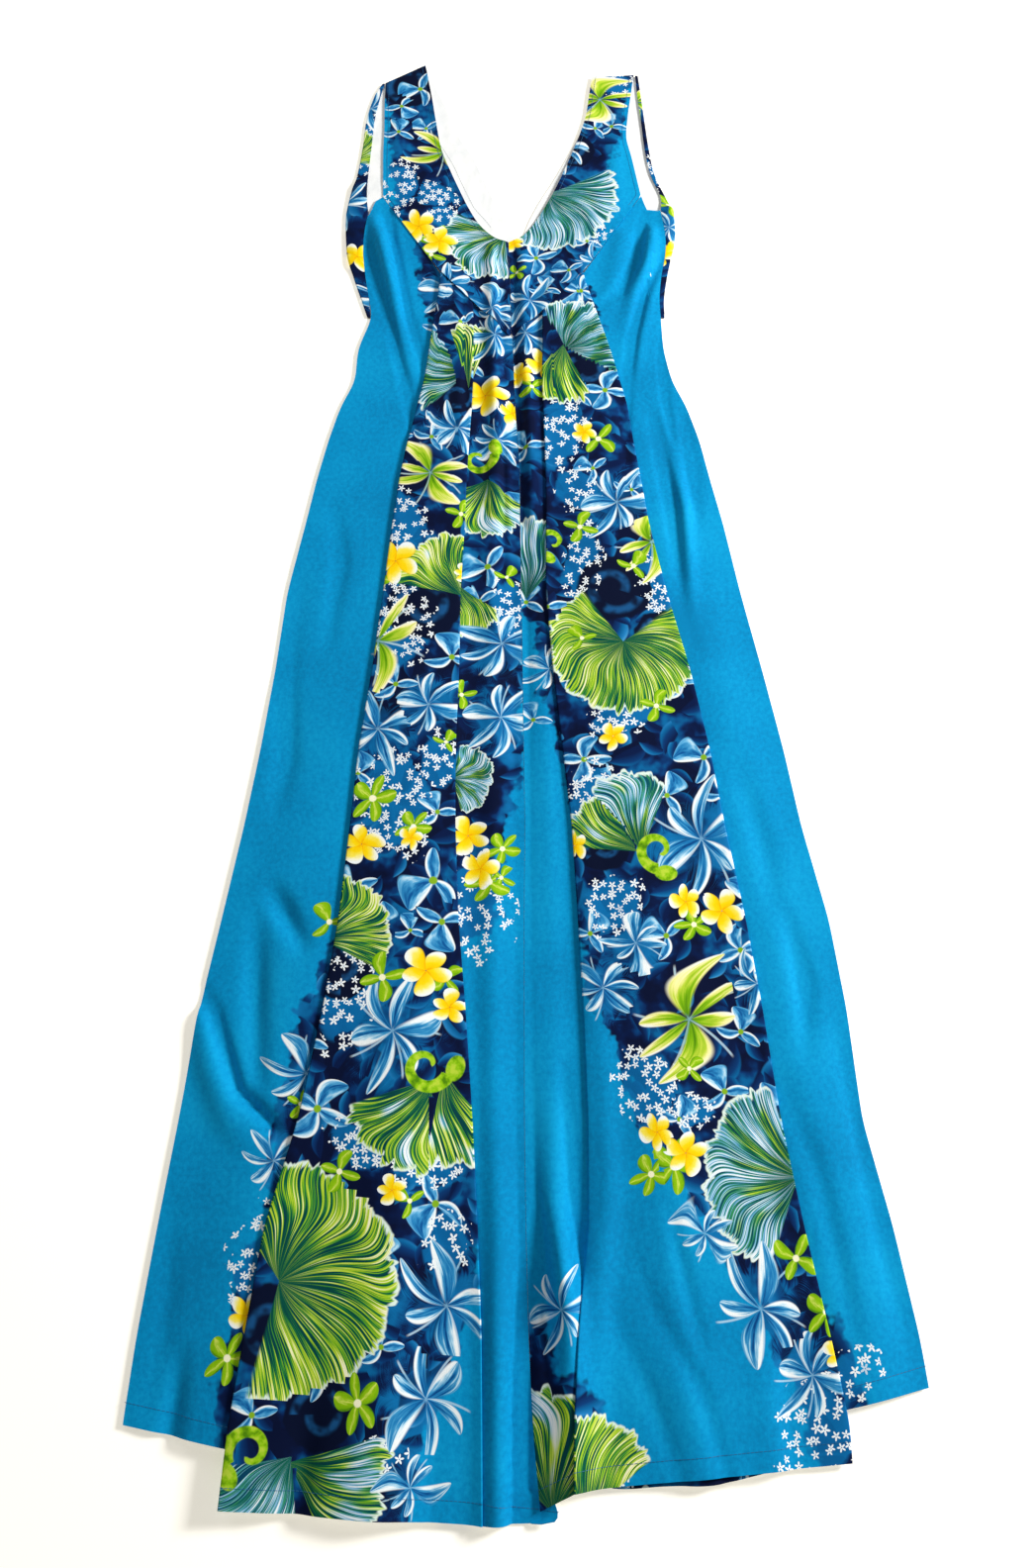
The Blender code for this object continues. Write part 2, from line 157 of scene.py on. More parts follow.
# %% Lines that run down the front of the skirt
Guide = namedtuple("Guide", "y side_left outer_left inner_left centre inner_right outer_right side_right")
GUIDES = [Guide(*row) for row in (
    (1.230, -0.157, -0.078, -0.046, -0.006, 0.027, 0.067, 0.153),
    (1.200, -0.162, -0.078, -0.046, -0.006, 0.027, 0.067, 0.157),
    (1.170, -0.162, -0.078, -0.046, -0.006, 0.027, 0.067, 0.156),
    (1.140, -0.158, -0.079, -0.046, -0.006, 0.027, 0.068, 0.150),
    (1.112, -0.153, -0.081, -0.046, -0.006, 0.027, 0.076, 0.147),
    (1.090, -0.149, -0.084, -0.046, -0.006, 0.027, 0.082, 0.148),
    (1.050, -0.162, -0.088, -0.045, -0.004, 0.027, 0.093, 0.149),
    (1.010, -0.163, -0.092, -0.045, -0.003, 0.026, 0.102, 0.156),
    (0.980, -0.176, -0.098, -0.046, -0.002, 0.027, 0.109, 0.169),
    (0.940, -0.186, -0.106, -0.048, 0.001, 0.028, 0.113, 0.180),
    (0.895, -0.195, -0.113, -0.050, 0.003, 0.029, 0.119, 0.188),
    (0.845, -0.203, -0.118, -0.051, 0.003, 0.029, 0.125, 0.198),
    (0.770, -0.216, -0.124, -0.054, 0.004, 0.028, 0.139, 0.210),
    (0.690, -0.222, -0.131, -0.054, 0.005, 0.034, 0.157, 0.225),
    (0.610, -0.230, -0.140, -0.056, 0.006, 0.042, 0.171, 0.239),
    (0.540, -0.239, -0.144, -0.055, 0.007, 0.049, 0.180, 0.249),
    (0.455, -0.252, -0.150, -0.051, 0.006, 0.053, 0.193, 0.266),
    (0.380, -0.264, -0.159, -0.044, 0.006, 0.056, 0.202, 0.274),
    (0.290, -0.273, -0.174, -0.037, 0.006, 0.058, 0.211, 0.279),
    (0.210, -0.282, -0.195, -0.032, 0.007, 0.057, 0.223, 0.295),
    (0.130, -0.290, -0.205, -0.028, 0.009, 0.047, 0.237, 0.307),
    (0.070, -0.294, -0.212, -0.027, 0.012, 0.043, 0.246, 0.312),
    (0.000, -0.294, -0.216, -0.026, 0.018, 0.042, 0.246, 0.312),
)]
ROUNDING = 0.016         # how far up and down a line is averaged to round its corners
WINDOW_STOPS = 9
WINDOW_FADE = 1.2        # the weights would reach nothing at this many roundings

guide_heights = np.array([guide.y for guide in GUIDES])[::-1]
window = np.linspace(-ROUNDING, ROUNDING, WINDOW_STOPS)
window_weights = 1 - abs(window) / (ROUNDING * WINDOW_FADE)
window_weights /= window_weights.sum()


def line_x(name, y):
    """The x of one guide line at a height, with the table's corners rounded."""
    column = np.array([getattr(guide, name) for guide in GUIDES])[::-1]
    return sum(weight * np.interp(y + offset, guide_heights, column)
               for offset, weight in zip(window, window_weights))


# %% Where the lines start on the bust seam and end at the hem
Half = namedtuple("Half", "name sign side_top armhole corner outer_top inner_top "
                          "side_hem under_hem band_hem inner_hem centre_hem")
HALVES = (
    Half("left", 1, (-0.157, 1.225), (-0.152, 1.243), (-0.144, 1.250), (-0.078, 1.144),
         (-0.046, 1.108), 0.070, 0.055, 0.016, 0.005, 0.000),
    Half("right", -1, (0.153, 1.230), (0.138, 1.232), (0.133, 1.251), (0.067, 1.144),
         (0.027, 1.098), 0.095, 0.080, 0.045, 0.027, 0.014),
)
BUST_TIP = (-0.0055, 1.065)
NECK_TIP = (-0.009, 1.188)
SEAM_GAP = 0.0003
TUCK_TOP = 0.012         # how far a pleat turns under at the bust seam
TUCK_HEM = 0.030         # and at the hem

BACK_LEVEL = 0.00055     # the middle of the cloth's thickness, layer by layer
FRONT_LEVEL = 0.00195
RETURN_LEVEL = 0.00375
BAND_LEVEL = 0.00555
SHELL = 0.0008           # the shells' own thickness

# %% Straps, neckline and the back
Strap = namedtuple("Strap", "neck_x neck_y arm_x arm_y")
STRAPS = {
    "left": [Strap(*row) for row in (
        (-0.103, 1.440, -0.147, 1.413),
        (-0.095, 1.393, -0.147, 1.378),
        (-0.090, 1.360, -0.146, 1.345),
        (-0.083, 1.318, -0.146, 1.310),
        (-0.072, 1.285, -0.145, 1.280),
    )],
    "right": [Strap(*row) for row in (
        (0.084, 1.422, 0.131, 1.425),
        (0.080, 1.393, 0.127, 1.397),
        (0.076, 1.364, 0.122, 1.360),
        (0.067, 1.331, 0.120, 1.332),
        (0.056, 1.299, 0.125, 1.303),
    )],
}
YOKE_FRONT = {
    "left": ((-0.061, 1.256), (-0.052, 1.234), (-0.040, 1.211), (-0.024, 1.194), NECK_TIP),
    "right": ((0.043, 1.264), (0.031, 1.237), (0.018, 1.212), (0.006, 1.196), NECK_TIP),
}
BACK_SEAM_X = 0.004
BACK_WAIST_Y = 1.090
BACK_HEM_Y = 0.050
Back = namedtuple("Back", "neck_x neck_y fold_x fold_y rim_x")
BACKS = {
    "left": [Back(*row) for row in (
        (-0.1030, 1.4395, -0.1500, 1.412, -0.1480),
        (-0.0920, 1.4100, -0.1580, 1.393, -0.1520),
        (-0.0780, 1.3750, -0.1650, 1.360, -0.1570),
        (-0.0650, 1.3380, -0.1675, 1.320, -0.1590),
        (-0.0480, 1.3050, -0.1720, 1.278, -0.1610),
        (-0.0350, 1.2710, -0.1780, 1.246, -0.1610),
    )],
    "right": [Back(*row) for row in (
        (0.0840, 1.4220, 0.1345, 1.4240, 0.1325),
        (0.0825, 1.3900, 0.1370, 1.3930, 0.1340),
        (0.0740, 1.3520, 0.1400, 1.3520, 0.1370),
        (0.0590, 1.3160, 0.1430, 1.3160, 0.1395),
        (0.0410, 1.2760, 0.1475, 1.2820, 0.1440),
        (0.0250, 1.2450, 0.1580, 1.2500, 0.1540),
    )],
}
Side = namedtuple("Side", "inner_y fold_x y")
BACK_SIDES = {
    "left": [Side(*row) for row in (
        (1.237, -0.181, 1.225),
        (1.208, -0.180, 1.200),
        (1.178, -0.177, 1.170),
        (1.146, -0.169, 1.140),
        (1.114, -0.160, 1.112),
        (1.090, -0.153, 1.090),
    )],
    "right": [Side(*row) for row in (
        (1.220, 0.165, 1.230),
        (1.190, 0.166, 1.200),
        (1.164, 0.161, 1.170),
        (1.138, 0.155, 1.140),
        (1.112, 0.151, 1.112),
        (1.090, 0.151, 1.090),
    )],
}
BACK_NECK_LOW = {"left": ((-0.022, 1.237), (-0.003, 1.208)), "right": ((0.014, 1.220),)}

# %% [markdown]
# ## Folds
# Cloth that lies flat still stands clear of itself in broad swells, and it buckles in narrow
# creases where something pulls on it: under the arms, beside the pleats and down to the hem. A
# fold is a line of points, each with how far the cloth stands up there (or sinks, below zero),
# and a soft bell across the line. One height field then serves every layer, so the layers of a
# pleat rise together and never cut through each other.

# %% A fold as a line of heights
Fold = namedtuple("Fold", "spread points")


def fold_line(spread, *points):
    """A fold, given in millimetres: how wide its bell is, and its points as (x, y, height)."""
    return Fold(spread / 1000, [tuple(part / 1000 for part in point) for point in points])


# %% Broad swells
SWELLS = [
    fold_line(40, (-62, 1070, 1), (-120, 10, 9)),
    fold_line(44, (50, 1070, 1), (150, 30, 5)),
    fold_line(52, (-120, 900, 1), (-190, 330, 8), (-222, 10, 10)),
    fold_line(30, (140, 960, 1), (270, 85, 6)),
    fold_line(13, (-138, 1190, 5), (-112, 1020, 2)),
    fold_line(12, (146, 1180, 5), (118, 1030, 2)),
    fold_line(12, (112, 1190, 4), (94, 1110, 2)),
    fold_line(26, (-100, 1225, 4), (-70, 1160, 3)),
    fold_line(26, (92, 1225, 4), (60, 1160, 3)),
    fold_line(10, (-170, 1260, 3), (-170, 1160, 3)),
    fold_line(8, (162, 1230, 3), (160, 1180, 3)),
    fold_line(20, (-88, 350, 1), (-100, 5, 4)),
    fold_line(18, (112, 300, 1), (128, 35, 2)),
    fold_line(18, (185, 300, 1), (192, 45, 3)),
]

# %% Narrow creases
CREASES = [
    # Under the left arm: two long soft troughs and a dimple at the side seam
    fold_line(4.2, (-154, 1180, -3), (-143, 1128, -8), (-131, 1080, -10), (-113, 1006, -8),
              (-103, 955, -3), (-100, 925, 0)),
    fold_line(4.4, (-146, 1262, -1.8), (-137, 1215, -7.2), (-127, 1165, -9), (-113, 1093, -7),
              (-98, 1040, -3), (-94, 1010, 0)),
    fold_line(5, (-146, 1090, -5.4), (-134, 1064, 0)),
    fold_line(8, (-152, 1215, 5.4), (-140, 1165, 7.2), (-126, 1110, 3.6), (-118, 1060, 0)),
    # Under the right arm
    fold_line(4.4, (135, 1225, -3), (125, 1163, -9), (107, 1122, -9), (86, 1104, -2)),
    fold_line(4.6, (151, 1165, -3.6), (131, 1118, -10.8), (119, 1068, -12), (110, 1010, -9),
              (106, 950, -4), (108, 900, 0)),
    fold_line(3.6, (152, 1090, -2), (146, 1040, -6), (148, 985, -5), (156, 930, 0)),
    fold_line(8, (143, 1200, 5.4), (134, 1155, 7.2), (120, 1118, 3.6), (106, 1070, 0)),
    fold_line(6, (165, 965, -1.8), (171, 905, -5.4), (173, 835, 0)),
    fold_line(7, (135, 965, -1.8), (150, 860, -7.2), (157, 765, -1.8), (164, 700, 0)),
    fold_line(8, (150, 930, 0), (160, 865, 4.2), (161, 790, 3.6), (160, 720, 0)),
    # Down the two sides of the skirt
    fold_line(5.2, (-272, 405, -1.8), (-252, 376, -9), (-240, 345, -9), (-226, 312, -7.2),
              (-200, 290, -7.2), (-186, 272, 0)),
    fold_line(12, (-262, 372, 3.6), (-250, 330, 5.4), (-232, 292, 3.6), (-205, 262, 0)),
    fold_line(9, (-216, 490, 0), (-199, 462, -7.2), (-183, 436, -3.6), (-176, 420, 0)),
    fold_line(10, (-222, 480, 0), (-219, 400, -5.4), (-212, 330, -3.6), (-206, 300, 0)),
    fold_line(10, (-204, 800, 0), (-214, 700, -3.6), (-206, 600, -3.6), (-214, 540, 0)),
    fold_line(8, (-180, 880, 0), (-168, 800, -3.6), (-176, 700, 0)),
    fold_line(9, (-275, 240, 0), (-268, 160, -1.4), (-274, 80, -1)),
    fold_line(9, (214, 330, 0), (240, 245, -2.2), (252, 170, -2.2), (262, 90, 0)),
    fold_line(9, (262, 380, 0), (277, 290, -3.6), (288, 190, -2.8), (300, 110, 0)),
    fold_line(11, (190, 620, 0), (214, 520, -3), (222, 440, 0)),
    fold_line(9, (228, 470, 0), (240, 400, -5.4), (236, 330, 0)),
    # The two centre strips stand up in rounded tubes, with a deep valley between them
    fold_line(12, (-24, 1000, 2), (-22, 800, 3), (-22, 500, 3), (-19, 300, 4), (-15, 200, 7),
              (-15, 130, 11), (-14, 0, 11)),
    fold_line(11, (18, 1000, 2), (22, 800, 3), (28, 550, 2), (30, 400, 1), (28, 310, 2), (29, 230, 7),
              (36, 173, 13), (42, 130, 9), (43, 30, 6)),
    fold_line(18, (36, 230, 0), (34, 150, 8), (32, 90, 9), (32, 0, 8)),
    fold_line(6, (2, 1000, -3), (3, 800, -5), (5, 500, -6), (6, 330, -6), (8, 240, -8), (10, 180, -20),
              (2, 100, -18), (1, 0, -14)),
    fold_line(5, (6, 260, 0), (15, 225, -4), (20, 180, -11), (24, 130, -4), (26, 80, 0)),
    fold_line(5, (38, 340, 0), (45, 235, -7), (48, 190, -4), (50, 150, 0)),
    fold_line(10, (56, 620, 0), (62, 450, 1.5), (70, 330, 2), (72, 238, 3.5), (63, 166, 5), (56, 40, 2)),
    # Slanting folds at the right of the hem, and two short ones at its left
    fold_line(6, (82, 210, 0), (108, 145, -1.2), (136, 96, -2.2), (155, 30, -2.2)),
    fold_line(5, (117, 235, 0), (126, 185, -2.4), (136, 140, -2), (142, 110, 0)),
    fold_line(6.4, (62, 180, 0), (80, 130, -1.4), (100, 90, -1.8), (122, 30, -1.4)),
    fold_line(12, (118, 120, 0), (136, 70, 1), (150, 30, 1.4)),
    fold_line(10, (200, 130, 0), (206, 80, -4.8), (210, 40, -4.8)),
    fold_line(10, (-58, 110, 0), (-54, 60, -6.4), (-52, 0, -8)),
    fold_line(11, (-150, 100, 0), (-158, 50, -4.8), (-162, 0, -4.8)),
    fold_line(9, (-254, 130, 0), (-256, 90, -4.8), (-258, 60, -4.8)),
    # The small pleat at the top of the left band, with a matching soft line on the right
    fold_line(3.2, (-56, 1116, -1.4), (-51, 995, -1.4), (-47, 895, 0)),
    fold_line(6, (-62, 1110, 1.6), (-58, 995, 1.6), (-54, 895, 0)),
    fold_line(5, (48, 1100, -1), (56, 1000, -2), (60, 900, 0)),
    # The gathered opening below the neck: a deep slit between two soft ridges
    fold_line(8, (-26, 1178, 5), (-24, 1060, 7), (-20, 950, 5), (-20, 850, 2)),
    fold_line(7, (6, 1175, 4), (8, 1060, 5), (12, 950, 4), (14, 850, 3)),
    fold_line(3, (-7.5, 1186, -12), (-4.5, 1060, -16), (-1, 950, -14), (1, 860, -8), (2, 760, 0)),
    fold_line(3, (-19, 1176, -6), (-16, 1120, -7), (-13, 1040, -4), (-11, 1000, 0)),
    fold_line(2.8, (-15, 975, 0), (-13, 900, -4), (-12, 820, -2), (-12, 760, 0)),
    # Straps and yoke: pressed flat, with a soft roll along the neckline
    fold_line(6, (-100, 1425, 1.2), (-86, 1350, 1.4), (-62, 1275, 1.4), (-30, 1215, 1)),
    fold_line(6, (88, 1415, 1.2), (80, 1350, 1.4), (60, 1290, 1.4), (20, 1228, 1)),
    fold_line(9, (-142, 1400, 0), (-128, 1360, 1.6), (-130, 1300, 1.8), (-120, 1250, 1)),
    fold_line(9, (120, 1405, 0), (110, 1350, 1.6), (106, 1300, 1.8), (110, 1250, 1)),
]

# %% The height field
LOWEST_RELIEF = -0.0003  # the front cloth rests on the back, so nothing sinks further
CREASE_SHARPNESS = 0.0006


def fold_height(fold, x, y):
    """The height that one fold adds at places in plan: its nearest point's height in a soft bell."""
    nearest = np.full(np.shape(x), np.inf)
    height = np.zeros(np.shape(x))
    for (x0, y0, h0), (x1, y1, h1) in zip(fold.points, fold.points[1:]):
        run_x, run_y = x1 - x0, y1 - y0
        share = np.clip(((x - x0) * run_x + (y - y0) * run_y) / (run_x ** 2 + run_y ** 2), 0, 1)
        away = (x - x0 - share * run_x) ** 2 + (y - y0 - share * run_y) ** 2
        closer = away < nearest
        nearest = np.where(closer, away, nearest)
        height = np.where(closer, h0 + (h1 - h0) * share, height)
    return height * np.exp(-nearest / fold.spread ** 2)


def relief(x, y):
    """How far the cloth stands clear of its resting level."""
    height = sum(fold_height(fold, x, y) for fold in SWELLS + CREASES)
    above = (height - LOWEST_RELIEF) / CREASE_SHARPNESS
    return LOWEST_RELIEF + CREASE_SHARPNESS * np.logaddexp(0, above)


print(len(SWELLS), "swells and", len(CREASES), "creases")

# %% [markdown]
# ## The front skirts
# A front skirt is one cloth: the side panel, a tuck under the printed band, the band on top, a
# tuck under its other edge and the strip at the centre. Each row runs across that whole cloth.
# A folded edge is a half circle between two layers. Beside its place in space, each stop gets
# its place on the cloth before it was pleated, in metres: that is its UV, and the print is laid
# out there, so it runs on through the folds as it does on real printed cotton.

# %% A row of stops across a front skirt
SKIRT_ROWS = 230
PANEL_STOPS = 50
BAND_STOPS = 30
STRIP_STOPS = 28
CORNER_STOPS = 8         # of the panel's stops, those up to the armhole's corner
TURN_STOPS = 6
RISE_FALL = 4            # how fast the armhole's rise dies out down the panel
HEM_CURL = {"left": 0.006, "right": 0.0}  # the strip's hem turns up a little at the centre
HEM_CURL_FROM = 0.985    # from this share of the way down
LOBE = {"left": 0.013, "right": 0.0}       # and flips out sideways in a small lobe
LOBE_HALF = 0.013
LOBE_REACH = 0.022
LOBE_LIFT = 0.0015
LOBE_ROUND = 0.5
LOBE_FALL = 1.5
EDGE_RISE = 0.0009
EDGE_REACH = 0.007
TUCK_SHARES = np.arange(1, 6) / 6  # the same for each layer of a tuck, so that they never cross


def mixed(a, b, share):
    return np.array(a) + (np.array(b) - np.array(a)) * share


class Row:
    """One section of cloth: places, layer levels and cloth coordinates, stop by stop."""

    def __init__(self):
        self.stops = []

    def add(self, place, level, across, push=0.0):
        """A stop at a place in plan on one layer; across is where it is on the flat cloth."""
        self.stops.append((place[0] + push, place[1], level, across))

    def turn(self, place, along, low, high, outwards, across):
        """A fold: half a circle that bulges outwards along the row, from one layer to the next."""
        radius = abs(high - low) / 2
        for share in np.linspace(0, 1, TURN_STOPS):
            angle = math.pi * share
            bulge = outwards * radius * math.sin(angle)
            level = (low + high) / 2 - (high - low) / 2 * math.cos(angle)
            self.stops.append((place[0] + along[0] * bulge, place[1] + along[1] * bulge, level, across))


# %% The section of a front skirt
def panel_place(half, t, share, side, under):
    """A place on the side panel, lifted near the top to the armhole and the bust seam."""
    reach = half.outer_top[0] - half.side_top[0]
    corners = (half.side_top, half.armhole, half.corner, half.outer_top)
    shares = [(corner[0] - half.side_top[0]) / reach for corner in corners]
    top_y = np.interp(share, shares, [corner[1] for corner in corners])
    rise = top_y - (half.side_top[1] + (half.outer_top[1] - half.side_top[1]) * share)
    x, y = mixed(side, under, share)
    return x, y + rise * (1 - t) ** RISE_FALL


def edge_rise(away):
    """The strip lies close up under the band's fold, so it rises beside it."""
    return EDGE_RISE * math.exp(-(away / EDGE_REACH) ** 2)


def skirt_row(half, t):
    """The section of a front skirt, t of the way down from its bust seam to its hem."""
    drop = 2 * SEAM_GAP * (1 - t)

    def down(line, top_y, hem_y):
        y = top_y + (hem_y - top_y) * t - drop
        return np.array((line_x(line, y + drop), y))

    side = down("side_" + half.name, half.side_top[1], half.side_hem)
    under = down("outer_" + half.name, half.outer_top[1], half.under_hem)
    outer = down("outer_" + half.name, half.outer_top[1], half.band_hem)
    inner = down("inner_" + half.name, half.inner_top[1], half.inner_hem)
    centre = down("centre", BUST_TIP[1], half.centre_hem)
    centre[0] -= half.sign * SEAM_GAP / 2
    centre[1] += HEM_CURL[half.name] * max(0, (t - HEM_CURL_FROM) / (1 - HEM_CURL_FROM)) ** 2
    if t == 0:
        side = np.array(half.side_top)
    tuck = TUCK_TOP + (TUCK_HEM - TUCK_TOP) * t
    width = math.dist(outer, inner)
    along = (inner - outer) / width
    far = half.sign * tuck
    row = Row()
    corner = (half.corner[0] - half.side_top[0]) / (half.outer_top[0] - half.side_top[0])
    shares = np.concatenate([np.linspace(0, corner, CORNER_STOPS)[:-1],
                             np.linspace(corner, 1, PANEL_STOPS - CORNER_STOPS + 1)])
    for share in shares:
        place = panel_place(half, t, share, side, under)
        row.add((place[0], place[1] - (drop if 0 < share < 1 else 0)), FRONT_LEVEL, place[0] - 2 * far)
    for share in TUCK_SHARES:
        row.add(under + along * tuck * share, FRONT_LEVEL, under[0] - far * (2 - share))
    row.turn(under + along * tuck, along, FRONT_LEVEL, RETURN_LEVEL, 1, outer[0] - far)
    for share in TUCK_SHARES[::-1]:
        row.add(mixed(outer, under + along * tuck, share), RETURN_LEVEL, outer[0] - far * share)
    row.turn(outer, along, RETURN_LEVEL, BAND_LEVEL, -1, outer[0])
    for share in TUCK_SHARES:
        row.add(outer + along * tuck * share, BAND_LEVEL, outer[0] + far * share)
    for share in np.linspace(0, 1, BAND_STOPS):
        place = outer + along * (tuck + (width - 2 * tuck) * share)
        row.add(place, BAND_LEVEL, place[0])
    for share in TUCK_SHARES[::-1]:
        row.add(inner - along * tuck * share, BAND_LEVEL, inner[0] - far * share)
    row.turn(inner, along, BAND_LEVEL, RETURN_LEVEL, 1, inner[0])
    for share in TUCK_SHARES:
        row.add(inner - along * tuck * share, RETURN_LEVEL, inner[0] + far * share)
    row.turn(inner - along * tuck, along, RETURN_LEVEL, FRONT_LEVEL, -1, inner[0] + far)
    for share in TUCK_SHARES[::-1]:
        level = FRONT_LEVEL + edge_rise(tuck * share)
        row.add(inner - along * tuck * share, level, inner[0] + far * (2 - share))
    for share in np.linspace(0, 1, STRIP_STOPS):
        place = mixed(inner, centre, share)
        row.add(place, FRONT_LEVEL + edge_rise(math.dist(place, inner)), place[0] + 2 * far)
    return row.stops


# %% The grid of a front skirt
def skirt_grid(half):
    """Places (x, y, z) and cloth coordinates of every stop of a front skirt."""
    rows = np.array([skirt_row(half, t) for t in np.linspace(0, 1, SKIRT_ROWS)])
    x, y, level, across = np.moveaxis(rows, 2, 0)
    place = np.stack([x, y, level + relief(x, y)], axis=2)
    up = np.linspace(BUST_TIP[1], 0, SKIRT_ROWS)[:, None]
    lobe = LOBE[half.name] * np.clip(1 - (up / LOBE_HALF - 1) ** 2, 0, 1) ** LOBE_ROUND
    near = np.clip((across - across[:, -1:] + LOBE_REACH) / LOBE_REACH, 0, 1) ** LOBE_FALL
    place[..., 0] += lobe * near
    place[..., 2] += LOBE_LIFT * (lobe > 0) * near
    return place, np.stack([across, y], axis=2)


# %% [markdown]
# ## Yokes and back bodices
# A yoke is the strap and the bust in one: its rows run from the armhole or the bust seam to the
# neckline. A back bodice lies under it and rolls over the side, so that a strip of the back's
# own print shows beside the front. Catmull-Rom curves go through the table's points, and break
# only where the real edge has a corner.

# %% Curves through the table's points
def through(points, breaks, samples):
    """Places on a smooth curve through points, by fractional index, with corners kept at breaks."""
    points = np.array(points, float)
    samples = np.clip(samples, 0, len(points) - 1)
    found = np.empty((len(samples), points.shape[1]))
    ends = sorted(set(breaks) | {0, len(points) - 1})
    for i, at in enumerate(samples):
        k = min(int(at), len(points) - 2)
        low = max(end for end in ends if end <= k)
        high = min(end for end in ends if end > k)
        p1, p2 = points[k], points[k + 1]
        p0 = points[k - 1] if k > low else 2 * p1 - p2
        p3 = points[k + 2] if k + 2 <= high else 2 * p2 - p1
        s = at - k
        found[i] = (p1 + s * (p2 - p0) / 2 + s * s * (2 * p0 - 5 * p1 + 4 * p2 - p3) / 2
                    + s ** 3 * (3 * p1 - p0 - 3 * p2 + p3) / 2)
    return found


# %% Yokes
YOKE_ROWS = 112
YOKE_STOPS = 44
SEAM_LAP = 0.0011        # the yoke's turned edge lies on the skirt's, so no gap shows
SEAM_LIFT = 0.0012
SEAM_LIFT_FALL = 6
YOKE_CROWDING = 1.25     # the stops lie closer towards the neckline
YOKE_TIP = 0.05          # where the yoke's point lies, from the bust's tip to the band's corner
YOKE_SEAM_SHARES = (0.31, 0.64, 0.96)
NECK_CORNERS = (9,)      # the points of each edge that stay sharp
ARM_CORNERS = (5, 8, 10)
YOKE_LAPS_FROM = 5 / 11  # from this share of its rows, just past the armhole, it laps the skirt
BAND_RISE = BAND_LEVEL - FRONT_LEVEL
YOKE_RISE = {
    "left": Fold(0.018, ((-0.074, 1.140, BAND_RISE), (-0.048, 1.110, BAND_RISE))),
    "right": Fold(0.018, ((0.062, 1.139, BAND_RISE), (0.030, 1.102, BAND_RISE))),
}


def yoke_edges(half):
    """The neck side and the arm side of a yoke, row by row."""
    tip = tuple(mixed(BUST_TIP, half.inner_top, YOKE_TIP))
    neck = [(strap.neck_x, strap.neck_y) for strap in STRAPS[half.name]] + list(YOKE_FRONT[half.name])
    neck += [tuple(mixed(NECK_TIP, BUST_TIP, share)) for share in YOKE_SEAM_SHARES]
    arm = [(strap.arm_x, strap.arm_y) for strap in STRAPS[half.name]]
    arm += [tuple(mixed(half.corner, half.outer_top, share)) for share in (0, 1 / 3, 2 / 3, 1)]
    arm += [tuple(mixed(half.outer_top, half.inner_top, 0.5))]
    arm += [tuple(mixed(half.inner_top, tip, share)) for share in (0, 0.5, 1)]
    samples = np.linspace(0, len(neck) - 1, YOKE_ROWS)
    return through(neck, NECK_CORNERS, samples), through(arm, ARM_CORNERS, samples)


def yoke_grid(half):
    neck, arm = yoke_edges(half)
    lapped = np.linspace(0, 1, YOKE_ROWS) > YOKE_LAPS_FROM
    outwards = (arm - neck) / np.linalg.norm(arm - neck, axis=1)[:, None]
    arm += np.where(lapped, SEAM_LAP, 0)[:, None] * outwards
    neck[:, 0] -= np.where(neck[:, 1] <= NECK_TIP[1] + 0.001, half.sign * SEAM_GAP / 2, 0)
    share = (1 - (1 - np.linspace(0, 1, YOKE_STOPS)) ** YOKE_CROWDING)[None, :, None]
    plan = arm[:, None, :] + (neck - arm)[:, None, :] * share
    x, y = plan[..., 0], plan[..., 1]
    lift = np.where(lapped, SEAM_LIFT, 0)[:, None] * (1 - share[..., 0]) ** SEAM_LIFT_FALL
    level = FRONT_LEVEL + fold_height(YOKE_RISE[half.name], x, y) + relief(x, y) + lift
    return np.dstack([x, y, level]), plan


# %% Back bodices
BACK_ROWS = 84
BACK_STOPS = 14
ROLL_STOPS = 11
RIM_SHARES = (0.25, 0.5, 0.75, 1)  # of the way from the roll to the rim on top


def back_grid(half):
    """From the neck under the gown to the side, round the roll and up to the rim on top."""
    rows = [(row.neck_x, row.neck_y, row.fold_x, row.fold_y, row.rim_x) for row in BACKS[half.name]]
    centre = BACK_SEAM_X - half.sign * SEAM_GAP / 2
    low = BACK_NECK_LOW[half.name]
    for i, row in enumerate(BACK_SIDES[half.name]):
        inner = low[i] if i < len(low) else (centre, row.inner_y)
        rim_x = line_x("side_" + half.name, row.y) - half.sign * SEAM_GAP
        rows.append((inner[0], inner[1], row.fold_x, row.y, rim_x))
    armpit = len(BACKS[half.name])
    breaks = (armpit, armpit + len(low))
    rows = through(rows, breaks, np.linspace(0, len(rows) - 1, BACK_ROWS))
    grid, cloth = [], []
    for neck_x, neck_y, fold_x, fold_y, rim_x in rows:
        inner, fold = np.array((neck_x, neck_y)), np.array((fold_x, fold_y))
        along = (fold - inner) / math.dist(fold, inner)
        rise = float(relief(fold_x, fold_y))
        high = FRONT_LEVEL + rise
        radius = (high - BACK_LEVEL) / 2
        places, across = [], []
        for share in np.linspace(0, 1, BACK_STOPS)[:-1]:
            spot = mixed(inner, fold, share)
            places.append((spot[0], spot[1], BACK_LEVEL))
            across.append(spot[0])
        for share in np.linspace(0, 1, ROLL_STOPS):
            angle = math.pi * share
            spot = fold + along * radius * math.sin(angle)
            places.append((spot[0], spot[1], (BACK_LEVEL + high) / 2 - radius * math.cos(angle)))
            across.append(fold_x - half.sign * radius * angle)
        for share in RIM_SHARES:
            x = fold_x + (rim_x - fold_x) * share
            places.append((x, fold_y, FRONT_LEVEL + float(relief(x, fold_y))))
            across.append(fold_x - half.sign * (radius * math.pi + abs(x - fold_x)))
        grid.append(places)
        cloth.append([(a, fold_y) for a in across])
    return np.array(grid), np.array(cloth)


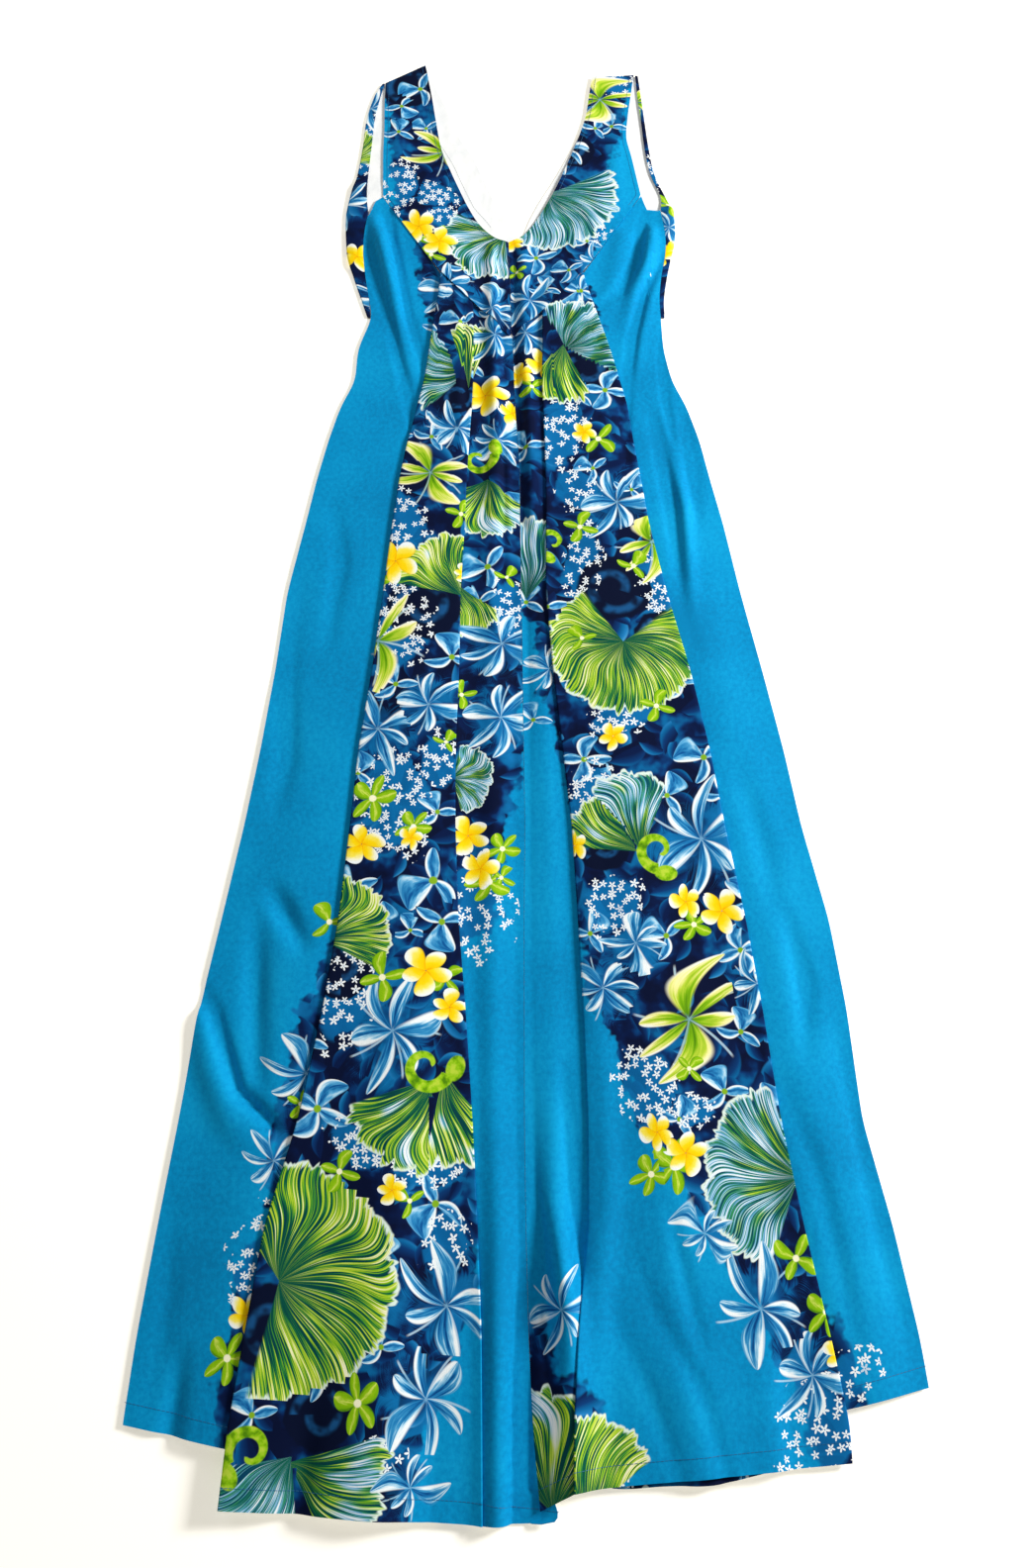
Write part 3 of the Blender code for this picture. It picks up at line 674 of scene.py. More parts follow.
# %% [markdown]
# The back skirts lie flat on the floor under everything else, so they stay plain.

# %% Back skirts
BACK_SKIRT_ROWS = 90
BACK_SKIRT_STOPS = 24


def back_skirt_grid(half):
    top = BACK_WAIST_Y - SEAM_GAP
    centre = BACK_SEAM_X - half.sign * SEAM_GAP / 2
    grid = []
    for t in np.linspace(0, 1, BACK_SKIRT_ROWS):
        y = top + (half.side_hem - top) * t
        side = (line_x("side_" + half.name, y), y)
        middle = (centre, top + (BACK_HEM_Y - top) * t)
        shares = np.linspace(0, 1, BACK_SKIRT_STOPS)
        grid.append([(*mixed(side, middle, share), BACK_LEVEL) for share in shares])
    grid = np.array(grid)
    return grid, grid[..., :2]


# %% [markdown]
# ## The print's layout
# The print is a common one for such gowns: fan-shaped leaves, plumerias, spider lilies, small
# stars and scrolls on painted navy. Each motif here is a row in a short table, drawn by a formula
# further down. Its columns are its place across and along the flat cloth and its size, in
# millimetres, its turn in degrees, and its kind.

# %% Fan leaves
Motif = namedtuple("Motif", "across along size turn kind")

# Kind is half the angle that a leaf opens to, in whole degrees, and after the point how blue it is
FANS = {
    "yoke_left": ((-13, 1200, 70, 214, 62.6),),
    "yoke_right": ((33, 1252, 82, -50, 78.75),),
    "skirt_left": (
        (-46, 1018, 76, 160, 66.6), (-49, 998, 86, 93, 12.12), (-21, 998, 86, 87, 12.12),
        (2, 892, 66, 262, 62.45), (-22, 777, 58, 292, 34.15), (-52, 764, 72, 128, 42.2),
        (-164, 436, 64, 32, 62.1), (-16, 583, 38, 4, 80.6), (-66, 322, 82, 232, 36.4),
        (-60, 328, 80, 285, 26.35), (-182, 170, 96, 12, 118.08), (-168, 46, 80, -22, 38.5),
        (-166, 50, 74, 232, 46.88)),
    "skirt_right": (
        (49, 1048, 66, 30, 84.68), (47, 1052, 76, 262, 32.15), (-26, 763, 94, 80, 32.9),
        (98, 716, 76, 262, 140.05), (106, 514, 70, 148, 28.35), (108, 514, 78, 98, 30.6),
        (222, 246, 80, 176, 74.6), (-34, 14, 86, 84, 62.4), (46, 8, 76, 70, 34.2)),
    "back_left": ((-150, 1300, 50, 130, 60.3),),
    "back_right": ((150, 1330, 50, 40, 60.3),),
}

# %% Spider lilies
# Kind 0 is lime and 1 is blue, and after the point is a number that makes each one its own
LILIES = {
    "yoke_left": ((-80, 1312, 49, 20, 0.03), (-72, 1128, 39, 60, 1.01), (-26, 1096, 39, 0, 1.08)),
    "yoke_right": (
        (92, 1388, 48, 60, 0.06), (50, 1318, 41, 110, 1.05), (82, 1158, 30, 80, 1.05),
        (13, 1108, 38, 75, 1.05)),
    "skirt_left": (
        (-94, 1124, 46, 200, 1.02), (2, 1062, 39, 30, 1.03), (-60, 950, 41, 80, 1.02),
        (-84, 898, 52, 10, 0.02), (10, 936, 34, 150, 1.07), (-128, 716, 64, 100, 0.04),
        (22, 716, 52, 0, 1.05), (24, 642, 46, 200, 1.02), (-124, 628, 48, 130, 1.06),
        (-80, 652, 43, 15, 1.03), (-102, 360, 55, 45, 1.02), (-222, 326, 43, 140, 1.03),
        (-246, 258, 34, 150, 1.06), (-54, 152, 50, 120, 1.04), (-68, 88, 48, 250, 1.03),
        (-78, 30, 30, 250, 1.09)),
    "skirt_right": (
        (-16, 1066, 43, 70, 1.06), (96, 866, 50, 35, 1.03), (128, 822, 50, 95, 0.05),
        (-8, 690, 34, 0, 1.03), (160, 526, 62, 60, 1.04), (72, 396, 39, 160, 1.05),
        (142, 370, 64, 80, 0.05), (100, 434, 34, 20, 1.07), (186, 150, 50, 100, 1.04),
        (222, 104, 41, 20, 1.02), (146, 204, 30, 230, 1.08), (-22, 150, 36, 45, 1.03),
        (200, 400, 32, 45, 1.01)),
    "back_left": ((-184, 1112, 34, 20, 1.03), (-176, 1240, 39, 100, 1.06), (-166, 1375, 39, 40, 1.02)),
    "back_right": ((176, 1205, 32, 40, 1.02), (146, 1385, 39, 200, 0.04)),
}

# %% Plumerias and lime flowers
# A plumeria's kind is a number that makes each one its own
PLUMERIAS = {
    "yoke_left": ((-104, 1206, 24, 10, 0.1), (-82, 1186, 22, 50, 0.3)),
    "yoke_right": ((-4, 1186, 13, 0, 0.2),),
    "skirt_right": (
        (2, 1030, 22, 20, 0.1), (-22, 1016, 16, 0, 0.4), (66, 946, 14, 30, 0.3), (144, 470, 16, 0, 0.1),
        (174, 462, 21, 30, 0.3), (112, 280, 16, 15, 0.1), (134, 264, 19, 50, 0.2), (86, 622, 15, 20, 0.4),
        (50, 520, 14, 0, 0.1), (244, 118, 14, 40, 0.2)),
    "skirt_left": (
        (-4, 990, 25, 40, 0.2), (22, 972, 16, 0, 0.5), (-114, 800, 25, 15, 0.3), (-134, 520, 21, 60, 0.1),
        (0, 530, 20, 10, 0.2), (12, 500, 19, 45, 0.4), (-92, 526, 12, 45, 0.4), (-76, 410, 23, 20, 0.2),
        (-56, 380, 16, 50, 0.5), (-262, 146, 17, 30, 0.3), (-98, 236, 13, 0, 0.2), (-50, 788, 11, 0, 0.2)),
    "back_left": ((-190, 1166, 20, 30, 0.1),),
    "back_right": ((174, 1170, 18, 10, 0.2),),
}
# A lime flower's is the number of its petals
LIME_FLOWERS = {
    "yoke_left": ((-90, 1168, 18, 20, 4), (-86, 1184, 26, 40, 5), (-108, 1196, 20, 0, 4)),
    "yoke_right": ((0, 1146, 12, 80, 4),),
    "skirt_right": (
        (80, 938, 22, 100, 4), (60, 838, 19, 30, 4), (106, 248, 19, 15, 5), (216, 186, 20, 110, 4),
        (236, 148, 20, 40, 5), (110, 796, 18, 0, 3), (140, 330, 14, 0, 4), (20, 604, 13, 20, 3),
        (124, 254, 24, 40, 5), (150, 450, 18, 0, 5), (-12, 1000, 16, 0, 4), (126, 652, 18, 30, 4),
        (60, 720, 16, 70, 3)),
    "skirt_left": (
        (-126, 562, 24, 40, 5), (-112, 404, 22, 60, 4), (30, 518, 18, 20, 5), (30, 492, 14, 20, 4),
        (-118, 86, 22, 70, 5), (-276, 116, 21, 30, 5), (-12, 664, 15, 60, 4), (-64, 616, 13, 0, 3),
        (24, 786, 14, 0, 3), (-206, 452, 20, 60, 3), (-226, 302, 14, 20, 4), (-134, 786, 20, 0, 5),
        (-90, 536, 18, 20, 5), (20, 488, 22, 0, 5), (-60, 404, 16, 0, 4), (-54, 852, 18, 30, 4),
        (-140, 250, 18, 30, 4), (-84, 228, 15, 90, 3)),
    "back_right": ((168, 1236, 18, 60, 4),),
}

# %% Pale blue leaves
# Kind is the number of petals
PALE_LEAVES = {
    "yoke_right": (
        (20, 1166, 24, 60, 4), (54, 1146, 20, 90, 3), (104, 1348, 22, 50, 3), (86, 1346, 20, 0, 3),
        (74, 1186, 20, 30, 3), (30, 1124, 20, 30, 3)),
    "yoke_left": (
        (-30, 1150, 20, 0, 3), (-108, 1404, 28, 130, 3), (-128, 1378, 22, 250, 3),
        (-130, 1340, 22, 30, 3), (-100, 1346, 20, 90, 3), (-56, 1150, 22, 20, 3)),
    "skirt_right": (
        (88, 996, 27, 40, 4), (28, 752, 24, 70, 3), (166, 602, 28, 100, 3), (60, 600, 25, 45, 4),
        (188, 428, 24, 70, 4), (184, 360, 22, 20, 3), (110, 880, 20, 0, 3), (130, 290, 20, 0, 3),
        (64, 1120, 26, 20, 4), (100, 1044, 22, 90, 3), (62, 990, 20, 10, 3), (86, 676, 30, 30, 3),
        (150, 676, 26, 70, 3), (132, 566, 24, 0, 3), (84, 580, 20, 80, 3), (180, 566, 22, 20, 3),
        (196, 470, 26, 50, 3), (126, 440, 24, 100, 3), (62, 442, 22, 0, 3), (168, 312, 24, 60, 3),
        (200, 296, 24, 10, 3), (-24, 640, 20, 50, 3), (-26, 760, 22, 20, 3), (-20, 930, 24, 70, 3),
        (74, 904, 20, 100, 3)),
    "skirt_left": (
        (-28, 1026, 26, 180, 3), (6, 796, 30, 120, 3), (-72, 488, 34, 150, 3), (-64, 452, 28, 210, 3),
        (-160, 298, 30, 20, 4), (-64, 226, 28, 170, 3), (-150, 108, 24, 110, 3), (-102, 124, 20, 60, 3),
        (-90, 444, 17, 40, 3), (-226, 230, 20, 0, 3), (-100, 1080, 26, 30, 3), (-58, 1080, 22, 100, 3),
        (-84, 940, 22, 0, 3), (-116, 938, 18, 80, 3), (-60, 700, 28, 40, 3), (-110, 672, 24, 60, 3),
        (-140, 586, 22, 10, 3), (-140, 480, 26, 80, 3), (-116, 450, 20, 0, 3), (-70, 550, 22, 60, 3),
        (-172, 352, 22, 40, 3), (-66, 270, 22, 100, 3), (-120, 20, 26, 0, 3), (-104, 186, 20, 10, 3),
        (-196, 78, 22, 70, 3), (28, 860, 22, 30, 3), (0, 760, 22, 90, 3), (4, 1090, 22, 10, 3)),
}

# %% Lime scrolls, navy swirls and sprays of stars
SCROLLS = {
    "skirt_left": (
        (-8, 916, 20, 200, 0), (-74, 332, 24, 160, 0), (-196, 54, 22, 30, 0), (-196, 276, 15, 30, 0)),
    "skirt_right": ((34, 822, 18, 60, 0), (122, 516, 22, 90, 0)),
}
SWIRLS = {
    "skirt_left": (
        (-86, 752, 36, 20, 0), (-186, 138, 32, 200, 0), (-146, 412, 27, 90, 0), (-146, 78, 27, 0, 0),
        (-60, 988, 22, 220, 0)),
    "skirt_right": (
        (90, 772, 36, 160, 0), (134, 724, 27, 30, 0), (76, 520, 24, 40, 0), (70, 1020, 30, 40, 0)),
    "yoke_right": ((62, 1314, 24, 100, 0),),
    "yoke_left": ((-36, 1198, 26, 0, 0), (-120, 1410, 34, 60, 0)),
}
# A spray's kind is its width as a share of its length
SPRAYS = {
    "yoke_left": ((-126, 1262, 34, 80, 0.55), (-90, 1252, 26, 150, 0.6), (-78, 1222, 18, 120, 0.8)),
    "yoke_right": ((112, 1410, 18, 20, 0.8), (86, 1200, 18, 60, 0.6)),
    "skirt_right": (
        (42, 944, 40, 75, 0.6), (58, 880, 24, 110, 0.8), (62, 800, 38, 80, 0.45),
        (132, 784, 40, 95, 0.45), (66, 560, 34, 80, 0.6), (82, 468, 26, 60, 0.9),
        (106, 314, 30, 100, 0.8), (140, 296, 20, 10, 0.6), (64, 44, 24, 100, 0.6), (224, 62, 36, 70, 0.8),
        (312, 104, 22, 40, 0.7), (94, 640, 30, 20, 0.5)),
    "skirt_left": (
        (-104, 732, 40, 80, 0.65), (-110, 846, 36, 110, 0.6), (-88, 786, 34, 20, 0.6),
        (-106, 560, 48, 95, 0.6), (-70, 596, 28, 90, 0.6), (6, 464, 38, 110, 0.8),
        (-140, 392, 42, 75, 0.5), (-126, 270, 26, 150, 0.6), (-70, 252, 30, 0, 0.45),
        (-252, 190, 36, 65, 0.7), (-56, 196, 26, 85, 0.7), (28, 752, 30, 90, 0.6), (-100, 52, 16, 0, 0.8)),
    "back_left": ((-176, 1320, 40, 90, 0.4),),
    "back_right": ((160, 1290, 30, 90, 0.4),),
}

# %% All kinds of motif
LAYERS = {"fan": FANS, "lily": LILIES, "plumeria": PLUMERIAS, "lime_flower": LIME_FLOWERS,
          "pale_leaf": PALE_LEAVES, "scroll": SCROLLS, "swirl": SWIRLS, "spray": SPRAYS}
print("motifs:", {name: sum(map(len, cloths.values())) for name, cloths in LAYERS.items()})

# %% [markdown]
# The navy ground covers parts of each cloth. Each part is an outline of corners on the flat
# cloth; the shader frays it with noise. A point stores how far inside it lies.

# %% Where the navy ground lies
GROUNDS = {
    "skirt_left": [(
        (-0.135, 1.260), (-0.130, 1.131), (-0.114, 1.080), (-0.106, 0.990), (-0.118, 0.940), (-0.136, 0.770),
        (-0.152, 0.610), (-0.165, 0.455), (-0.206, 0.438), (-0.214, 0.396), (-0.234, 0.376), (-0.242, 0.315),
        (-0.252, 0.276), (-0.250, 0.220), (-0.272, 0.173), (-0.286, 0.110), (-0.275, 0.043), (-0.270, -0.02),
        (-0.085, -0.02), (-0.064, 0.070), (-0.040, 0.140), (-0.028, 0.175), (-0.020, 0.240), (-0.030, 0.405),
        (0.004, 0.432), (0.032, 0.447), (0.029, 0.525), (0.044, 0.590), (0.050, 0.800), (0.050, 1.130))],
    "skirt_right": [(
        (-0.060, 1.130), (-0.052, 0.820), (-0.022, 0.729), (-0.014, 0.649), (0.002, 0.572), (0.042, 0.500),
        (0.056, 0.396), (0.080, 0.350), (0.094, 0.292), (0.134, 0.228), (0.170, 0.166), (0.200, 0.110),
        (0.214, 0.070), (0.222, 0.020), (0.290, 0.000), (0.320, 0.070), (0.318, 0.117), (0.300, 0.150),
        (0.250, 0.170), (0.232, 0.250), (0.223, 0.290), (0.205, 0.455), (0.183, 0.610), (0.151, 0.770),
        (0.137, 0.845), (0.126, 0.940), (0.120, 0.983), (0.112, 1.031), (0.114, 1.080), (0.100, 1.131),
        (0.080, 1.150)),
        ((-0.070, 0.142), (-0.032, 0.146), (-0.022, 0.104), (0.040, 0.106), (0.056, 0.098), (0.068, 0.062),
         (0.074, -0.020), (-0.080, -0.020))],
    "yoke_left": [((-0.170, 1.440), (-0.146, 1.385), (-0.139, 1.278), (-0.130, 1.225), (-0.108, 1.165),
                   (-0.100, 1.100), (0.020, 1.000), (0.020, 1.250), (-0.040, 1.460))],
    "yoke_right": [((-0.030, 1.000), (0.080, 1.060), (0.080, 1.131), (0.076, 1.157), (0.092, 1.196),
                    (0.100, 1.264), (0.112, 1.320), (0.126, 1.393), (0.140, 1.440), (0.000, 1.460))],
    "back_left": [((-0.40, 1.00), (0.10, 1.00), (0.10, 1.50), (-0.40, 1.50))],
    "back_right": [((-0.10, 1.00), (0.40, 1.00), (0.40, 1.50), (-0.10, 1.50))],
}


def depth_inside(outline, points):
    """How far inside an outline each point lies, in metres; outside it is below zero."""
    x, y = points[:, 0], points[:, 1]
    nearest = np.full(len(points), np.inf)
    inside = np.zeros(len(points), bool)
    for (x0, y0), (x1, y1) in zip(outline, outline[1:] + outline[:1]):
        run_x, run_y = x1 - x0, y1 - y0
        share = np.clip(((x - x0) * run_x + (y - y0) * run_y) / (run_x ** 2 + run_y ** 2), 0, 1)
        nearest = np.minimum(nearest, np.hypot(x - x0 - share * run_x, y - y0 - share * run_y))
        if y0 != y1:
            inside ^= ((y0 > y) != (y1 > y)) & (x < (x1 - x0) * (y - y0) / (y1 - y0) + x0)
    return np.where(inside, nearest, -nearest)


# %% [markdown]
# Every face stores, for each kind of motif, where it lies on the nearest one: along it, across
# it, and the motif's own number. The values sit on the face's corners, and a face reads one
# motif only, so the shader can draw a sharp petal on a coarse grid.

# %% Write the print's places into a mesh
FAR_AWAY = 9.0
WIDE_FAN = 100           # from this half angle on, in degrees, a leaf lies round its stalk
FAN_LEAN = (0.5, 0.1)    # how far off its stalk a narrow and a wide leaf's middle lies, in sizes


def mark_print(mesh, corners, cloth, name):
    """Adds one corner attribute for each kind of motif, and the depth of the ground.

    A fan leaf lies to one side of its stalk, so a face looks for the leaf's middle instead.
    """
    middles = cloth[corners].mean(axis=1)
    for layer, cloths in LAYERS.items():
        own = [Motif(*row) for row in cloths.get(name, ())]
        values = np.full((len(corners), 4, 3), FAR_AWAY)
        if own:
            table = np.array([(motif.across / 1000, motif.along / 1000, motif.size / 1000,
                               math.radians(motif.turn), motif.kind) for motif in own])
            lean = np.where(table[:, 4] < WIDE_FAN, *FAN_LEAN) * table[:, 2] * (layer == "fan")
            heart_x = table[:, 0] + lean * np.cos(table[:, 3])
            heart_y = table[:, 1] + lean * np.sin(table[:, 3])
            away = np.hypot(middles[:, None, 0] - heart_x, middles[:, None, 1] - heart_y) / table[:, 2]
            nearest = table[away.argmin(axis=1)][:, None, :]
            step = cloth[corners] - nearest[..., :2]
            cos, sin = np.cos(nearest[..., 3]), np.sin(nearest[..., 3])
            values[..., 0] = (step[..., 0] * cos + step[..., 1] * sin) / nearest[..., 2]
            values[..., 1] = (step[..., 1] * cos - step[..., 0] * sin) / nearest[..., 2]
            values[..., 2] = nearest[..., 4]
        attribute = mesh.attributes.new(layer, "FLOAT_VECTOR", "CORNER")
        attribute.data.foreach_set("vector", values.reshape(-1).astype(np.float32))
    depth = np.max([depth_inside(outline, cloth) for outline in GROUNDS[name]], axis=0)
    ground = mesh.attributes.new("ground", "FLOAT", "POINT")
    ground.data.foreach_set("value", depth.astype(np.float32))


# %% [markdown]
# ## Formulas as shader nodes
# A shader tree has no formulas, only Math nodes. The small class below lets a formula be written
# as one, such as `1 - r * r`: each sum or product adds its node to the tree that is being built.
# Every motif becomes a node group with named sockets, so a reader can open it in Blender.

# %% Numbers that build Math nodes
class Value:
    """A number or colour that some socket of the current shader tree puts out."""
    tree = None

    def __init__(self, socket):
        self.socket = socket

    def __add__(self, other):
        return reckon("ADD", self, other)

    def __radd__(self, other):
        return reckon("ADD", other, self)

    def __sub__(self, other):
        return reckon("SUBTRACT", self, other)

    def __rsub__(self, other):
        return reckon("SUBTRACT", other, self)

    def __mul__(self, other):
        return reckon("MULTIPLY", self, other)

    def __rmul__(self, other):
        return reckon("MULTIPLY", other, self)

    def __truediv__(self, other):
        return reckon("DIVIDE", self, other)


def plug(socket, value):
    """Links a Value to a socket, or sets the socket to a plain number or colour."""
    if isinstance(value, Value):
        Value.tree.links.new(value.socket, socket)
    else:
        socket.default_value = value


def reckon(how, *values):
    node = Value.tree.nodes.new("ShaderNodeMath")
    node.operation = how
    for socket, value in zip(node.inputs, values):
        plug(socket, value)
    return Value(node.outputs[0])


def smooth(value, low, high):
    """0 below low and 1 above high, with a soft step between; the other way round if low is higher."""
    node = Value.tree.nodes.new("ShaderNodeMapRange")
    node.interpolation_type = "SMOOTHSTEP"
    for socket, entry in zip(node.inputs, (value, low, high, 0.0, 1.0)):
        plug(socket, entry)
    return Value(node.outputs[0])


def vector(x, y, z=0.0):
    node = Value.tree.nodes.new("ShaderNodeCombineXYZ")
    for socket, value in zip(node.inputs, (x, y, z)):
        plug(socket, value)
    return Value(node.outputs[0])


def parts(place):
    node = Value.tree.nodes.new("ShaderNodeSeparateXYZ")
    plug(node.inputs[0], place)
    return [Value(socket) for socket in node.outputs]


def noise(place, scale, detail=2.0, roughness=0.5):
    node = Value.tree.nodes.new("ShaderNodeTexNoise")
    node.noise_dimensions = "2D"
    plug(node.inputs["Vector"], place)
    plug(node.inputs["Scale"], scale)
    plug(node.inputs["Detail"], detail)
    plug(node.inputs["Roughness"], roughness)
    return Value(node.outputs["Fac"])


def blend(share, under, over):
    """The colour under, covered by the colour over as far as share says."""
    node = Value.tree.nodes.new("ShaderNodeMix")
    node.data_type = "RGBA"
    for socket, value in ((node.inputs[0], share), (node.inputs[6], under), (node.inputs[7], over)):
        plug(socket, value)
    return Value(node.outputs[2])


def ramp(value, *stops):
    """A colour for each value: stops are (place, colour) from 0 to 1."""
    node = Value.tree.nodes.new("ShaderNodeValToRGB")
    elements = node.color_ramp.elements
    while len(elements) < len(stops):
        elements.new(0.5)
    for element, (place, colour) in zip(elements, stops):
        element.position = place
        element.color = colour
    plug(node.inputs[0], value)
    return Value(node.outputs[0])


def power(value, exponent):
    return reckon("POWER", value, exponent)


def largest(a, b):
    return reckon("MAXIMUM", a, b)


def distance(value):
    return reckon("ABSOLUTE", value)


# %% Opening and closing a node group
SOCKETS = {"number": "NodeSocketFloat", "vector": "NodeSocketVector", "colour": "NodeSocketColor"}


def open_group(name, **inputs):
    """A new group with these inputs, given as name="kind". Returns it and the inputs' values."""
    tree = bpy.data.node_groups.new(name, "ShaderNodeTree")
    for label, kind in inputs.items():
        tree.interface.new_socket(name=label, in_out="INPUT", socket_type=SOCKETS[kind])
    Value.tree = tree
    entry = tree.nodes.new("NodeGroupInput")
    return tree, [Value(entry.outputs[label]) for label in inputs]


def close_group(tree, **outputs):
    """Gives the group its outputs: name=(kind, value)."""
    for label, (kind, _) in outputs.items():
        tree.interface.new_socket(name=label, in_out="OUTPUT", socket_type=SOCKETS[kind])
    leave = tree.nodes.new("NodeGroupOutput")
    for label, (_, value) in outputs.items():
        plug(leave.inputs[label], value)
    return tree


def use(group, **inputs):
    """Places a group in the current tree. Returns its outputs by name."""
    node = Value.tree.nodes.new("ShaderNodeGroup")
    node.node_tree = group
    for label, value in inputs.items():
        plug(node.inputs[label], value)
    return {socket.name: Value(socket) for socket in node.outputs}


# %% [markdown]
# ## Petals
# Lilies, plumerias and the small flowers are all petals round a point. One group works out, for
# any place on a motif, which petal it is on, how far along that petal and how far across. Count,
# width, bend and bluntness tell the flowers apart, and a little unevenness keeps a hand-painted look.

# %% The petal group
TURN = 2 * math.pi


def petals_group():
    tree, (place, count, width, bend, uneven, blunt) = open_group(
        "Petals", Place="vector", Count="number", Width="number", Bend="number", Uneven="number",
        Blunt="number")
    p, q, seed = parts(place)
    radius = reckon("SQRT", p * p + q * q)
    angle = reckon("ARCTAN2", q, p)
    curl = bend * radius * radius * (0.35 + reckon("SINE", angle * 2 + seed * 30))
    wobble = reckon("SINE", angle * 2 + seed * 40) * uneven
    turns = angle * count / TURN + curl + wobble
    index = reckon("FLOOR", turns)
    local = (turns - index - 0.5) / count * TURN
    own = reckon("FRACT", (index + 0.5) / count) * count
    length = 1 - uneven * (1 + reckon("SINE", own * 2.4 + seed * 70))
    along = radius / length
    across = radius * reckon("SINE", local)
    half_width = width * power(along, 0.75) * power(largest(1 - power(along, blunt), 0), 0.5)
    mask = smooth(half_width - distance(across), 0.0, 0.035)
    side = across / largest(half_width, 0.01)
    return close_group(tree, Mask=("number", mask), Along=("number", along), Side=("number", side),
                       Petal=("number", own), Radius=("number", radius))


PETALS = petals_group()

# %% Colours of the print
NAVY = tint(3, 24, 68)
DEEP_BLUE = tint(4, 54, 110)
MIDDLE_BLUE = tint(4, 96, 152)
SKY_BLUE = tint(60, 150, 200)
PALE_BLUE = tint(158, 212, 238)
TURQUOISE = tint(0, 144, 202)
WHITE = tint(246, 252, 253)
DARK_GREEN = tint(4, 82, 60)
LEAF_GREEN = tint(30, 132, 62)
LIME = tint(142, 196, 14)
PALE_LIME = tint(212, 228, 96)
OLIVE = tint(80, 134, 8)
YELLOW = tint(255, 220, 10)
ORANGE = tint(248, 176, 0)
CREAM = tint(255, 252, 214)

# %% [markdown]
# A spider lily has six long, curling petals. The lime ones are green at the heart and white at
# the edges and tips. The blue ones are painted thinly: each petal runs from the blue beneath on
# one side to white on the other. A thinned blue wash lies behind them on the navy.

# %% Spider lily
def lily_group():
    tree, (place,) = open_group("Spider Lily", Place="vector")
    p, q, code = parts(place)
    blue = smooth(code, 0.4, 0.6)
    found = use(PETALS, Place=place, Count=6.0, Width=0.25, Bend=0.62, Uneven=0.20, Blunt=2.2)
    along, side, petal, radius = found["Along"], found["Side"], found["Petal"], found["Radius"]
    streak = noise(vector(side * 2.6 + petal * 3.1, along * 1.3 + code * 9), 1.5, 2.0) - 0.5
    across = distance(side)
    lime = ramp(along * 0.50 + streak * 0.5 + across * 0.34 + side * 0.10,
                (0.06, OLIVE), (0.24, tint(124, 180, 12)), (0.38, tint(190, 214, 60)),
                (0.50, tint(244, 240, 150)), (0.66, CREAM), (0.80, WHITE))
    cold = ramp(across * 0.42 + side * 0.24 + along * 0.30 + streak * 0.75, (0.0, tint(4, 66, 128)),
                (0.16, tint(22, 114, 176)), (0.30, SKY_BLUE), (0.42, tint(176, 220, 242)), (0.54, WHITE))
    spoke = distance(reckon("FRACT", reckon("ARCTAN2", q, p) * 5 / TURN + radius * 0.25) - 0.5) * radius
    thread = smooth(spoke, 0.018, 0.006) * smooth(radius, 0.74, 0.66) * 0.7
    colour = blend(thread * (1 - found["Mask"]), blend(blue, lime, cold), PALE_BLUE)
    wash = smooth(radius + streak * 1.2, 0.90, 0.40) * (0.04 + blue * 0.44)
    return close_group(tree, Colour=("colour", colour), Mask=("number", largest(found["Mask"], thread)),
                       Wash=("number", wash))


# %% [markdown]
# A plumeria has five broad petals that overlap like a pinwheel: yellow at the heart, white
# towards the tips and along one side of each petal.

# %% Plumeria
def plumeria_group():
    tree, (place,) = open_group("Plumeria", Place="vector")
    found = use(PETALS, Place=place, Count=5.0, Width=0.52, Bend=0.22, Uneven=0.06, Blunt=3.0)
    along, side = found["Along"], found["Side"]
    tone = along + side * 0.24 + (noise(place, 3.0) - 0.5) * 0.3
    colour = ramp(tone, (0.0, ORANGE), (0.14, tint(255, 206, 0)), (0.42, YELLOW), (0.66, tint(255, 236, 90)),
                  (0.84, CREAM), (1.0, WHITE))
    edge = smooth(side, -0.70, -0.95) * smooth(along, 0.12, 0.3)
    colour = blend(edge * 0.5, colour, tint(214, 170, 0))
    return close_group(tree, Colour=("colour", colour), Mask=("number", found["Mask"]))


# %% Small lime flowers and pale three-petalled leaves
def small_flower_group(name, width, blunt, bend, lopsided, stops, heart_colour, heart_size):
    """A small flower whose petals change colour from their middle line out, more to one side if lopsided."""
    tree, (place,) = open_group(name, Place="vector")
    _, _, count = parts(place)
    found = use(PETALS, Place=place, Count=count, Width=width, Bend=bend, Uneven=0.08, Blunt=blunt)
    side = distance(found["Side"])
    streak = noise(vector(found["Side"] * 2.4 + found["Petal"] * 5.3, found["Along"] * 1.8), 1.6, 2.0) - 0.5
    colour = ramp(side * (1 - lopsided) + found["Side"] * lopsided + streak * 0.7, *stops)
    heart = smooth(found["Radius"], heart_size, heart_size * 0.7)
    return close_group(tree, Colour=("colour", blend(heart, colour, heart_colour)),
                       Mask=("number", largest(found["Mask"], heart)))


LIME_STOPS = ((0.0, PALE_LIME), (0.20, tint(150, 198, 16)), (0.62, tint(128, 184, 8)),
              (0.95, tint(66, 128, 10)))
PALE_STOPS = ((0.0, tint(10, 84, 150)), (0.20, tint(40, 132, 190)), (0.38, tint(96, 176, 222)),
              (0.56, tint(190, 228, 246)), (0.72, WHITE))

# %% [markdown]
# ## Fan leaves
# The big leaves open like a fan from their stalk. In polar coordinates a vein is nearly a line
# of constant angle, so noise that is stretched along the radius paints all the veins at once,
# from dark green through lime to white. The rim is scalloped and edged in white.

